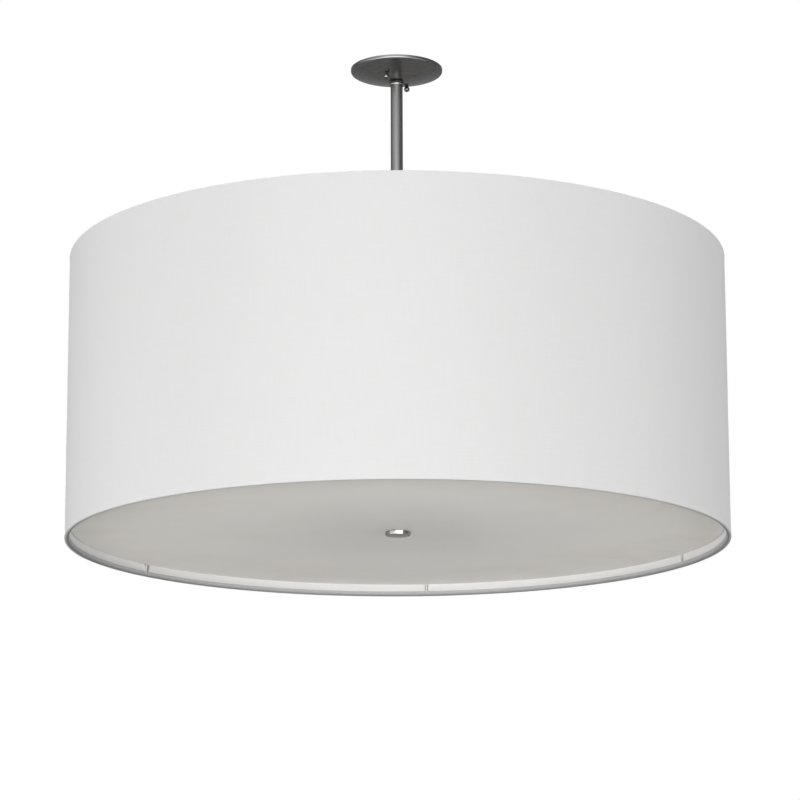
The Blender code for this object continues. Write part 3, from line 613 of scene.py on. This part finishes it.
def coverColumns():
    # Angles round the shade, closer together at the ribs and at the seam.
    halfNotch = cover["notchHalfWidth"]
    offsets = [0, 0.5 * halfNotch, halfNotch] + [halfNotch + d * mm for d in cover["ribColumns"]]
    perMetre = 180 / math.pi / cover["radius"]
    fine = [(angle, sorted({side * o for o in offsets for side in (-1, 1)})) for angle in ribAngles]
    fine.append((cover["seamAngle"], [d * mm for d in cover["seamColumns"]]))
    columns = []
    for angle, places in fine:
        columns += [(angle + place * perMetre) % 360 for place in places]
    clearOf = [(angle, places[-1] * perMetre + 0.5) for angle, places in fine]
    for step in range(round(360 / cover["columnStep"])):
        angle = cover["columnStep"] * step
        if all(abs((angle - middle + 180) % 360 - 180) > reach for middle, reach in clearOf):
            columns.append(angle)
    return sorted(columns)


def nearestRib(angle):
    # The nearest rib's number and the distance past it along the wall.
    gaps = [(angle - rib + 180) % 360 - 180 for rib in ribAngles]
    number = min(range(len(gaps)), key=lambda k: abs(gaps[k]))
    return number, math.radians(gaps[number]) * cover["radius"]


def beadShadeAmount(r, rise):
    # How much painted shade greys the cloth on the bead's inside, from 0 to 1.
    start, full = cover["beadShadeInset"]
    whole, clear = cover["beadShadeBand"]
    inside = smoothStep((cover["radius"] - r - start) / (full - start))
    below = smoothStep((clear - rise) / (clear - whole))
    faint = cover["beadShadeFaint"]
    return inside * below * (faint + (1 - faint) * smoothStep(1 - rise / cover["beadShadeFaintRise"]))


def flapShift(notch, past, t):
    # How a cut moves the hem beside it, at a share t of its height: along, outward and down.
    halfNotch, notchReach = cover["notchHalfWidth"], cover["notchReach"]
    side, away = (1 if past >= 0 else -1), abs(past)
    if away >= notchReach:
        return 0.0, 0.0, 0.0
    opening, lift, reach, rounded = [v * mm for v in notch[0 if side < 0 else 1]]
    opening = halfNotch + (opening - halfNotch) * t
    if away <= halfNotch:
        slide = side * (away / halfNotch * opening - away)
    else:
        share = (away - halfNotch) / (notchReach - halfNotch)
        slide = side * ((opening - halfNotch) * (1 - share))
    edge = max(0.0, away + side * slide - opening)
    out = -lift * smoothStep(t * cover["curlHaste"]) * math.exp(-(edge / reach) ** 2)
    return slide, out, rounded * t ** 2 * math.exp(-edge / cover["cornerReach"])


def coverPoint(row, angle):
    r, z, kind, rise, end = row
    number, past = nearestRib(angle)
    slide = out = drop = 0.0
    if kind == "hem":
        notch = (number + cover["topNotchShift"]) % len(ribAngles) if end == "top" else number
        t = (rise - cover["notchFrom"]) / (cover["hemHeight"] - cover["notchFrom"])
        slide, out, drop = flapShift(cover["notches"][notch], past, t)
    if kind == "bead":
        depth, reach = cover["ribDent"]
        out -= depth * math.exp(-(past / reach) ** 2)
    seam = math.radians((angle - cover["seamAngle"] + 180) % 360 - 180) * cover["radius"]
    if seam >= 0 and kind != "hem":
        out += cover["seamStep"] * math.exp(-seam / cover["seamFade"])
    a = math.radians(angle) + slide / cover["radius"]
    around = Vector((math.sin(a), math.cos(a), 0))
    depth, perMetre = cover["waves"][kind]
    wave = depth * noise.noise((around * r + Vector((0, 0, z))) * perMetre)
    if kind == "hem":
        start, full = cover["hemWaveRise"]
        wave *= smoothStep((rise - start) / (full - start))
    out += wave
    return around * (r + out) + Vector((0, 0, z - drop if end == "bottom" else z + drop))


def makeCover():
    path, columns = coverPath(), coverColumns()
    count = len(columns)
    runs = [0.0]                    # distance along the section, for the cloth's own coordinates
    for (r0, z0, *_), (r1, z1, *_) in zip(path, path[1:]):
        runs.append(runs[-1] + math.hypot(r1 - r0, z1 - z0))
    faces, uvs = [], []
    for row in range(len(path) - 1):
        rise = (path[row][3] + path[row + 1][3]) / 2
        hem = path[row][2] == path[row + 1][2] == "hem" and rise > cover["notchFrom"]
        start, end = row * count, (row + 1) * count
        for at, angle in enumerate(columns):
            after = (at + 1) % count
            width = (columns[after] - angle) % 360
            if hem and abs(nearestRib(angle + width / 2)[1]) < cover["notchHalfWidth"]:
                continue
            faces.append([start + at, start + after, end + after, end + at])
            left, right = (math.radians(side) * cover["radius"] for side in (angle, angle + width))
            above, below = -runs[row], -runs[row + 1]
            uvs += [(left, above), (right, above), (right, below), (left, below)]
    mesh = bpy.data.meshes.new("shadeLinen")
    mesh.from_pydata([coverPoint(row, angle) for row in path for angle in columns], [], faces)
    layer = mesh.uv_layers.new(name="cloth")
    for at, uv in enumerate(uvs):
        layer.data[at].uv = uv
    # Painted shade: how much each point of the bead's inside is greyed.
    beadShadeLayer = mesh.attributes.new("paintedBeadShade", "FLOAT", "POINT")
    beadShadeLayer.data.foreach_set("value", [beadShadeAmount(row[0], row[3]) for row in path for _ in columns])
    changeMesh(mesh, lambda bm: bmesh.ops.delete(
        bm, geom=[v for v in bm.verts if not v.link_faces], context="VERTS",
    ))
    piece = addPiece("shadeLinen", mesh, linen, "pendant", "shade_cover")
    solid = piece.modifiers.new("thickness", "SOLIDIFY")
    solid.thickness = cover["thickness"]
    solid.offset = -1
    solid.use_even_offset = True
    applyModifiers(piece, 50)
    return piece, runs[-1]


shadeLinen, clothWidth = makeCover()
print("linen cover:", len(shadeLinen.data.polygons), "faces")


# Liner and wire frame, seen through the open top.
shadeFrame = {
    "linerOuter": 456.3 * mm,
    "linerInner": 455.8 * mm,
    "ringRadius": 453.5 * mm,
    "ringWire": 2.0 * mm,
    "ribWire": 1.75 * mm,
    "ribEase": 0.4 * mm,
    "armWire": 2.5 * mm,
    "armEase": 0.8 * mm,
    "armStart": 12.5 * mm,
    "armGap": 0.3 * mm,             # between an arm's end and its rib, inside the weld
    "weldBite": 0.2 * mm,
    "weldRadius": 3.1 * mm,
    # In weld radii: it runs out thin along the arm and swells against the rib.
    "weld": [
        (0, -2.6), (0.80, -2.6), (0.84, -1.8), (0.95, -1.0), (1.08, -0.45), (1.02, -0.05), (0.7, 0), (0, 0),
    ],
    "washerEase": 0.6 * mm,
}
low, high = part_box("shade_liner")
linerOuter, linerInner = shadeFrame["linerOuter"], shadeFrame["linerInner"]
outline = [(linerInner, low.z), (linerOuter, low.z), (linerOuter, high.z), (linerInner, high.z)]
addTurned("shadeLiner", outline, 300, styrene, "pendant", "shade_liner")

for name, node in (("ringTop", "top_ring"), ("ringBottom", "bottom_ring")):
    low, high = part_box(node)
    section = arcPoints((shadeFrame["ringRadius"], (low.z + high.z) / 2), shadeFrame["ringWire"], 0, 330, 11)
    addTurned(name, section, 240, enamel, "pendant", node)

for number, angle in enumerate(ribAngles, start=1):
    node = "rib_%d" % number
    low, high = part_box(node)
    outline = rodOutline(shadeFrame["ribWire"], low.z, high.z, shadeFrame["ribEase"])
    place = uprightPlace(angle, shadeFrame["ringRadius"])
    addTurned("rib_fine_%d" % number, outline, 16, enamel, "pendant", node, place)

# Spider: three level arms, welded to the washer and to every other rib.
low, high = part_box("spider_arm_1")
armHeight = (low.z + high.z) / 2
armStart = shadeFrame["armStart"]
armEnd = shadeFrame["ringRadius"] - shadeFrame["ribWire"] - shadeFrame["armGap"]
armOutline = rodOutline(shadeFrame["armWire"], 0, armEnd - armStart, shadeFrame["armEase"])
weldOutline = [(r * shadeFrame["weldRadius"], z * shadeFrame["weldRadius"]) for r, z in shadeFrame["weld"]]
for number, angle in enumerate(armAngles, start=1):
    place = outwardPlace(angle, armStart, armHeight)
    addTurned("arm_fine_%d" % number, armOutline, 20, enamel, "pendant", "spider_arm_%d" % number, place)
    place = outwardPlace(angle, armEnd + shadeFrame["weldBite"], armHeight)
    addTurned("weld_%d" % number, weldOutline, 24, enamel, "pendant", place=place, sharpAngle=60)
addSleeve("spiderWasher", "spider_washer", pipeHole, enamel, "pendant", shadeFrame["washerEase"], 64)
print("frame of the shade: done")


# Canopy: a spun shell with an upright rim and a soft edge.
canopy = {
    "rimRadius": 65 * mm,
    "depth": 20 * mm,
    "rimHeight": 4.5 * mm,
    "rimEase": 0.3 * mm,
    "sheet": 1.2 * mm,
    "edge": 2.4 * mm,
    "domePower": 1.55,
    "holeRadius": 9.2 * mm,
    "holeLip": (0.12 * mm, 0.4 * mm),   # how far the hole's edge is rounded, halfway and in all
    "studHole": 2.6 * mm,
    "studReach": 32 * mm,
    "drillHeight": -14 * mm,
}


def domeHeight(radius):
    rise = (canopy["depth"] - canopy["rimHeight"]) * (radius / canopy["rimRadius"]) ** canopy["domePower"]
    return rise - canopy["depth"]


def makeCanopy():
    rim, sheet, edge, ease = (canopy[name] for name in ("rimRadius", "sheet", "edge", "rimEase"))
    hole, (lipMiddle, lip) = canopy["holeRadius"], canopy["holeLip"]
    flatEnd, innerRim = rim - edge, rim - sheet
    radii = [hole + (flatEnd - hole) * step / 28 for step in range(29)]
    outside = [(hole, domeHeight(hole) + lip), (hole + lipMiddle, domeHeight(hole) + lipMiddle)]
    outside += [(radius, domeHeight(radius)) for radius in [hole + lip] + radii[1:]]
    outside += arcPoints((flatEnd, domeHeight(flatEnd) + edge), edge, -90, 0, 8)[1:]
    inside = [(radius, domeHeight(radius) + sheet) for radius in radii if radius < innerRim - edge]
    inside += arcPoints((innerRim - edge / 2, inside[-1][1] + edge * 0.75), edge / 2, -80, 0, 4)
    rimTop = [(rim, -ease), (rim - ease, 0), (innerRim + ease, 0), (innerRim, -ease)]
    piece = addTurned("canopyShell", outside + rimTop + inside[::-1], 144, spunNickel, "canopy", "canopy")
    reach, height = canopy["studReach"], canopy["drillHeight"]
    places = [uprightPlace(angle, reach, height) for angle in sideAngles.values()]
    drillHoles(piece, places, canopy["studHole"], canopy["depth"])


makeCanopy()

stem = {
    "bore": 6.3 * mm, "ease": 0.35 * mm, "footFlange": 11 * mm, "flangeHeight": 4 * mm,
    "footRadius": 6.0 * mm, "ringHole": 8.9 * mm, "gasketEase": 0.7 * mm, "collarEase": 0.45 * mm,
}
addSleeve("stemGasket", "stem_gasket", stem["ringHole"], rubber, "canopy", stem["gasketEase"])
addSleeve("stemCollar", "stem_collar", stem["ringHole"], brightNickel, "canopy", stem["collarEase"])
addSleeve("stemTube", "stem", stem["bore"], drawnNickel, "pendant", stem["ease"], 96)
low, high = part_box("stem_foot")
flange, foot, flangeTop = stem["footFlange"], stem["footRadius"], low.z + stem["flangeHeight"]
outline = easedCorners([
    (pipeHole, low.z), (flange, low.z), (flange, flangeTop), (foot, flangeTop), (foot, high.z),
    (pipeHole, high.z),
], stem["ease"])
addTurned("stemFoot", outline, 72, drawnNickel, "pendant", "stem_foot")

# Ball nuts: a polished ball on a short neck, over the end of its stud. Heights are from the
# middle of the ball, and the waist's is below the top of the neck.
ballNut = {
    "ball": 4.0 * mm, "centre": -20 * mm, "bore": 2.4 * mm, "boreEnd": -0.6 * mm, "neck": 2.9 * mm,
    "neckEase": 0.2 * mm, "neckRoot": 2.75 * mm, "waist": 2.55 * mm, "waistDrop": 0.45 * mm,
}
for side, angle in sideAngles.items():
    node = "ball_nut_" + side
    low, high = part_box(node)
    top = high.z - ballNut["centre"]
    neck, ease, bore, boreEnd = (ballNut[name] for name in ("neck", "neckEase", "bore", "boreEnd"))
    start = math.degrees(math.acos(ballNut["neckRoot"] / ballNut["ball"]))
    outline = [(0, boreEnd), (bore, boreEnd), (bore, top), (neck - ease, top), (neck, top - ease)]
    outline += [(ballNut["waist"], top - ballNut["waistDrop"])]
    outline += arcPoints((0, 0), ballNut["ball"], start, -89, 24) + [(0, -ballNut["ball"])]
    place = uprightPlace(angle, canopy["studReach"], ballNut["centre"])
    # Their plate is a darker copy of the polished nickel: painted shade.
    addTurned("ballNut_" + side, outline, 40, shadedNickel, node, node, place)
print("canopy and stem: done")


# Ceiling hardware, seen from above and inside the canopy. A thread is its radius, pitch and depth.
hardware = {
    "boxScrewReach": 44.45 * mm, "groundReach": 19 * mm,
    "headRadius": 4.0 * mm, "headHeight": 2.4 * mm, "headEase": 0.8 * mm,
    "screwThread": (2.1 * mm, 0.79 * mm, 0.32 * mm), "tip": 0.4 * mm, "tipRadius": 1.47 * mm,
    "pipeThread": (4.9 * mm, 0.94 * mm, 0.38 * mm), "pipeBore": 2.9 * mm,
    "nutEase": 0.3 * mm,
}


def addScrew(name, node, angle, reach, finish):
    low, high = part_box(node)
    headTop = low.z + hardware["headHeight"]
    outline = rodOutline(hardware["headRadius"], low.z, headTop, hardware["headEase"])[:-1]
    outline += threaded(*hardware["screwThread"], headTop, high.z - hardware["tip"])
    outline += [(hardware["tipRadius"], high.z), (0, high.z)]
    addTurned(name, outline, 24, finish, "ceiling", node, uprightPlace(angle, reach), 80)


for side, angle in sideAngles.items():
    addScrew("boxScrew_" + side, "box_screw_" + side, angle, hardware["boxScrewReach"], zinc)
addScrew("groundScrew", "ground_screw", crossbarAngle, hardware["groundReach"], greenZinc)
for side, angle in sideAngles.items():
    node = "canopy_stud_" + side
    low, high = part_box(node)
    outline = [(0, low.z)] + threaded(*hardware["screwThread"], low.z, high.z) + [(0, high.z)]
    place = uprightPlace(angle, canopy["studReach"])
    addTurned("canopyStud_" + side, outline, 20, blackZinc, "ceiling", node, place, 80)
for name, node, body in (("nipplePipe", "nipple", "ceiling"), ("centreRod", "centre_rod", "pendant")):
    low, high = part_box(node)
    bore = hardware["pipeBore"]
    outline = [(bore, low.z)] + threaded(*hardware["pipeThread"], low.z, high.z) + [(bore, high.z)]
    addTurned(name, outline, 28, zinc, body, node, sharpAngle=80)
for name, node, body in (
    ("crossbarStrap", "crossbar", "ceiling"), ("nippleLockNut", "nipple_lock_nut", "ceiling"),
    ("clusterLockNut", "cluster_lock_nut", "pendant"), ("coverLockNut", "cover_lock_nut", "pendant"),
    ("diffuserStopNut", "diffuser_stop_nut", "pendant"),
):
    addPiece(name, bevelledMesh(node, hardware["nutEase"]), zinc, body, node)
for node in ("swivel_housing", "swivel_ball"):
    nodes[node].data.materials[0] = zinc[0]
print("ceiling hardware: done")


# Lamp cluster: cup, cover and three porcelain holders with globe lamps.
cluster = {
    "wall": 1.5 * mm, "ease": 0.7 * mm, "coverEase": 0.5 * mm, "stubHole": 5.1 * mm, "drillDepth": 12 * mm,
}
low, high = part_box("cluster_body")
lampHeight = (low.z + high.z) / 2
outer, innerWall, innerTop = high.x, high.x - cluster["wall"], high.z - cluster["wall"]
outline = easedCorners([
    (pipeHole, high.z), (outer, high.z), (outer, low.z), (innerWall, low.z), (innerWall, innerTop),
    (pipeHole, innerTop),
], cluster["ease"])
cup = addTurned("clusterCup", outline, 96, enamel, "pendant", "cluster_body")
stubPlaces = [outwardPlace(angle, outer, lampHeight) for angle in lampAngles]
drillHoles(cup, stubPlaces, cluster["stubHole"], cluster["drillDepth"])
addSleeve("clusterCover", "cluster_cover", pipeHole, enamel, "pendant", cluster["coverEase"], 96)
addSleeve("diffuserWasher", "diffuser_washer", pipeHole, fibre, "diffuser")

# Places along a holder and its lamp are from the holder's back face outward.
holder = {
    "start": 34.3 * mm, "stub": 4.8 * mm, "stubEnd": -4.5 * mm, "rear": 10 * mm, "body": 17 * mm,
    "taper": 7 * mm, "lip": 18 * mm, "lipStart": 40 * mm, "front": 44 * mm, "floor": 14 * mm,
    "bore": 13.6 * mm, "ease": 1.0 * mm,
}
lamp = {
    "rear": 14.3 * mm, "contact": 4 * mm, "contactEdge": 14.9 * mm,
    "shoulder": 11.2 * mm, "shoulderAt": 16.3 * mm,
    "thread": (13.2 * mm, 3.6 * mm, 0.9 * mm), "threadSpan": (17.3 * mm, 32 * mm),
    "cap": 13.2 * mm, "collarFrom": 33 * mm, "capEnd": 35 * mm,
    "globe": 30 * mm, "globeCentre": 92.3 * mm,
    # The neck flares from the cap into the globe, and meets it where the globe is neckTop wide.
    "neck": 12.8 * mm, "neckEnd": 35.2 * mm, "flareFrom": 40.5 * mm, "flarePower": 1.5, "neckTop": 16.5 * mm,
}


def holderOutline():
    stub, rear, body, lip, bore = (holder[name] for name in ("stub", "rear", "body", "lip", "bore"))
    back, lipStart, front, floor = (holder[name] for name in ("stubEnd", "lipStart", "front", "floor"))
    return easedCorners([
        (0, back), (stub, back), (stub, 0), (rear, 0), (body, holder["taper"]), (body, lipStart),
        (lip, lipStart), (lip, front), (bore, front), (bore, floor), (0, floor),
    ], holder["ease"], 4, closed=False)


def capOutline():
    rear, contact, cap, end = (lamp[name] for name in ("rear", "contact", "cap", "capEnd"))
    outline = [(0, rear), (contact, rear), (contact, lamp["contactEdge"])]
    outline += [(lamp["shoulder"], lamp["shoulderAt"])]
    outline += threaded(*lamp["thread"], *lamp["threadSpan"])
    return outline + [(cap, lamp["collarFrom"]), (cap, end), (0, end)]


def globeOutline():
    globe, centre, neck, flareFrom = (lamp[name] for name in ("globe", "globeCentre", "neck", "flareFrom"))
    start = -math.degrees(math.acos(lamp["neckTop"] / globe))
    neckOut = globe * math.cos(math.radians(start))
    neckRise = centre + globe * math.sin(math.radians(start))
    outline = [(0, lamp["neckEnd"]), (neck, lamp["neckEnd"])]
    for step in range(9):
        t = step / 8
        across = neck + (neckOut - neck) * smoothStep(t) ** lamp["flarePower"]
        outline.append((across, flareFrom + (neckRise - flareFrom) * t))
    return outline + arcPoints((0, centre), globe, start, 88, 30)[1:] + [(0, centre + globe)]


for number, angle in enumerate(lampAngles, start=1):
    place = outwardPlace(angle, holder["start"], lampHeight)
    node = "lamp_%d" % number
    addTurned(
        "lampHolder_%d" % number, holderOutline(), 64, porcelain, "pendant", "socket_%d" % number, place, 45,
    )
    addTurned("lampCap_%d" % number, capOutline(), 48, capMetal, node, place=place, sharpAngle=50)
    addTurned("lampGlobe_%d" % number, globeOutline(), 64, lampGlass, node, node, place, 60)
print("lamps: done")


# Diffuser and the faceted finial that holds it up. Its sides taper downwards, so that each
# mirrors the room and not the sheet above it.
diffuser = {"hole": 7.4 * mm, "ease": 0.7 * mm}
finial = {
    "corner": 18.1 * mm, "lowerCorner": 17.45 * mm, "sides": 12, "turn": 7.5, "sideHeight": 4.8 * mm,
    "gap": 0.3 * mm, "edge": 0.2 * mm, "ease": 0.12 * mm,
    "bulge": (11.5 * mm, 0.28),     # of the underside: its radius, and its share of the height
    "hub": 7.0 * mm, "bore": 5.39 * mm, "floor": 1.8 * mm,
}
diffuserLow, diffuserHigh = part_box("diffuser")
outline = ringOutline(
    diffuser["hole"], opalLook["radius"], diffuserLow.z, diffuserHigh.z, diffuser["ease"], 4,
)
addTurned("diffuserDisc", outline, 300, opal, "diffuser", "diffuser")


def makeFinial():
    low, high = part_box("finial")
    corner, lower, edge = finial["corner"], finial["lowerCorner"], finial["edge"]
    hub, bore = finial["hub"], finial["bore"]
    top = diffuserLow.z - finial["gap"]
    bottom, floor = top - finial["sideHeight"], low.z + finial["floor"]
    bulge, share = finial["bulge"]
    outline = [
        (0, low.z), (bulge, low.z + share * (bottom - low.z)), (lower - edge, bottom), (lower, bottom + edge),
        (corner, top - edge), (corner - edge, top), (hub, top), (hub, high.z), (bore, high.z),
        (bore, floor), (0, floor),
    ]
    mesh = turnedMesh("finialKnob", outline, finial["sides"])
    changeMesh(mesh, lambda bm: easeEdges(bm, finial["ease"], 20))
    smoothMesh(mesh, 12)
    place = Matrix.Rotation(math.radians(90 - finial["turn"]), 4, "Z")
    addPiece("finialKnob", mesh, brightNickel, "finial", "finial", place)


makeFinial()
print("diffuser and finial: done")


# Studio: a pale floor that fades into white paper, three soft boxes in front of the shade, one
# behind it and a large one above, and a room that is brighter overhead than at floor level. Metal
# mirrors a room of its own: dark behind, paler towards the left front, a white panel in front with
# a brighter strip across it, two low reflectors at its sides and a pale ceiling.
frontEdges = [("Y", -0.3, -0.5), ("X", -0.62, -0.5), ("X", 0.50, 0.36)]
lowEdges = [("Y", -0.02, -0.40), ("Z", -0.24, -0.31), ("Z", -0.80, -0.68)]
studio = {
    "floorHeight": -2.4,
    "floorRadius": 9.0,
    "floorColour": "#707070",
    "floorRoughness": 0.9,
    "floorFade": (0.2, 0.85),       # shares of the radius where the fade to white starts and ends
    "washedOut": 0.72,              # how white the floor already is at its middle
    # The room's light at its lowest and highest, and how far down and up these are.
    "room": {"low": 0.0, "high": 0.405, "lowAt": -0.1, "highAt": 0.9},
    "mirrored": {"dark": 0.33, "front": 1.15, "towards": (-0.423, -0.906, 0.0)},
    # Each has its strength and its edges: the axis, where the fade starts and where it is full.
    "reflectors": {
        "panel": (2.2, frontEdges + [("Z", 0.27, 0.18), ("Z", -0.75, -0.5)]),
        "strip": (4.0, frontEdges + [("Z", 0.02, -0.06), ("Z", -0.55, -0.42)]),
        "lowLeft": (5.5, lowEdges + [("X", -0.40, -0.55)]),
        "lowRight": (3.0, lowEdges + [("X", 0.36, 0.50)]),
        "ceiling": (0.7, [("Z", 0.45, 0.85)]),
    },
    # Degrees from the camera's side towards +X, distance, height and size in metres, and watts.
    "boxes": {
        "left": (-25.0, 4.6, -1.6, 1.7, 92.0),
        "farLeft": (-60.0, 4.6, -1.3, 1.7, 60.6),
        "farRight": (52.0, 4.6, -1.3, 1.7, 100.4),
        "back": (180.0, 4.6, -0.4, 1.7, 130.0),
        "above": (0.0, 0.4, 2.3, 1.8, 39.5),
    },
    "target": (0.0, 0.0, -0.5),
}
white = (1, 1, 1, 1)


def makeFloor():
    radius = studio["floorRadius"]
    mesh = bpy.data.meshes.new("floor")
    changeMesh(mesh, lambda bm: bmesh.ops.create_circle(bm, cap_ends=True, segments=96, radius=radius))
    floor = bpy.data.objects.new("floor", mesh)
    floor.location.z = studio["floorHeight"]
    scene.collection.objects.link(floor)
    floor.visible_glossy = False
    # Matt paper, seen only from above. The camera sees it half washed out by the light behind
    # it, and wholly white towards its edge.
    made, tree, shader = newMaterial("paperMatt", studio["floorColour"], studio["floorRoughness"])
    place = addNode(tree, "TexCoord")
    reach = addNode(tree, "VectorMath", {"operation": "LENGTH"}, {0: place.outputs["Object"]})
    start, end = (radius * share for share in studio["floorFade"])
    fade = addNode(
        tree, "MapRange",
        {"interpolation_type": "SMOOTHSTEP", "From Min": start, "From Max": end, "To Min": studio["washedOut"]},
        {"Value": reach.outputs["Value"]},
    )
    path = addNode(tree, "LightPath")
    amount = addNode(tree, "Math", {"operation": "MULTIPLY"}, {0: fade, 1: path.outputs["Is Camera Ray"]})
    paper = addNode(tree, "Emission", {"Color": white, "Strength": 1.0})
    seen = addNode(tree, "MixShader", links={0: amount, 1: shader, 2: paper})
    side = addNode(tree, "NewGeometry")
    clear = addNode(tree, "BsdfTransparent")
    oneSided = addNode(tree, "MixShader", links={0: side.outputs["Backfacing"], 1: seen, 2: clear})
    tree.links.new(oneSided.outputs[0], tree.nodes["Material Output"].inputs["Surface"])
    mesh.materials.append(made)


def makeRoom():
    world = bpy.data.worlds.new("room")
    scene.world = world
    world.use_nodes = True
    tree = world.node_tree
    tree.nodes.clear()
    path = addNode(tree, "LightPath")
    place = addNode(tree, "TexCoord")
    parts = addNode(tree, "SeparateXYZ", links={0: place.outputs["Generated"]})
    room, mirrored = studio["room"], studio["mirrored"]
    level = addNode(
        tree, "MapRange",
        {"From Min": room["lowAt"], "From Max": room["highAt"], "To Min": room["low"], "To Max": room["high"]},
        {"Value": parts.outputs["Z"]},
    )
    ahead = addNode(
        tree, "VectorMath", {"operation": "DOT_PRODUCT", 1: mirrored["towards"]},
        {0: place.outputs["Generated"]},
    )
    image = addNode(
        tree, "MapRange", {"To Min": mirrored["dark"], "To Max": mirrored["dark"] + mirrored["front"]},
        {"Value": ahead.outputs["Value"]},
    )
    for reflector, edges in studio["reflectors"].values():
        lit = addNode(tree, "Value")
        lit.outputs[0].default_value = reflector
        for axis, clear, full in edges:
            fade = addNode(
                tree, "MapRange", {"interpolation_type": "SMOOTHSTEP", "From Min": clear, "From Max": full},
                {"Value": parts.outputs[axis]},
            )
            lit = addNode(tree, "Math", {"operation": "MULTIPLY"}, {0: lit, 1: fade})
        image = addNode(tree, "Math", {"operation": "ADD"}, {0: image, 1: lit})
    strength = addNode(tree, "Mix", links={0: path.outputs["Is Glossy Ray"], 2: level, 3: image})
    dim = addNode(tree, "Background", {"Color": white}, {"Strength": strength})
    paper = addNode(tree, "Background", {"Color": white, "Strength": 1.0})
    mixed = addNode(tree, "MixShader", links={0: path.outputs["Is Camera Ray"], 1: dim, 2: paper})
    addNode(tree, "OutputWorld", links={"Surface": mixed})


def makeLights():
    target = Vector(studio["target"])
    for name, (azimuth, distance, height, size, power) in studio["boxes"].items():
        light = bpy.data.lights.new(name, "AREA")
        light.shape = "SQUARE"
        light.size = size
        light.energy = power
        stand = bpy.data.objects.new(name, light)
        stand.location = pointAt(180 - azimuth, distance, height)
        stand.rotation_euler = (target - stand.location).to_track_quat("-Z", "Y").to_euler()
        stand.visible_glossy = False
        scene.collection.objects.link(stand)


makeFloor()
makeRoom()
makeLights()


# The camera that took the picture, from 4.1 m away and below the shade, looking up.
view = {
    "place": (0.0, -4.118, -1.419),
    "pitch": 11.128,
    "roll": -0.172,
    "yaw": 0.043,
    "lens": 136.41,
    "sensor": 36,
    "shiftY": 0.1116,
    "farthest": 60,
}
camera = bpy.data.objects.new("camera", bpy.data.cameras.new("camera"))
scene.collection.objects.link(camera)
pitch, roll, yaw = (math.radians(view[name]) for name in ("pitch", "roll", "yaw"))
ahead = Vector((math.sin(yaw) * math.cos(pitch), math.cos(yaw) * math.cos(pitch), math.sin(pitch)))
level = Vector((math.cos(yaw), -math.sin(yaw), 0))
upward = level.cross(ahead)
right = level * math.cos(roll) + upward * math.sin(roll)
upward = upward * math.cos(roll) - level * math.sin(roll)
turn = Matrix((right, upward, -ahead)).transposed().to_4x4()
camera.matrix_world = Matrix.Translation(view["place"]) @ turn
camera.data.sensor_width = view["sensor"]
camera.data.lens = view["lens"]
camera.data.shift_y = view["shiftY"]
camera.data.clip_end = view["farthest"]
scene.camera = camera
scene.view_settings.view_transform = "Standard"
print("studio and camera: done")
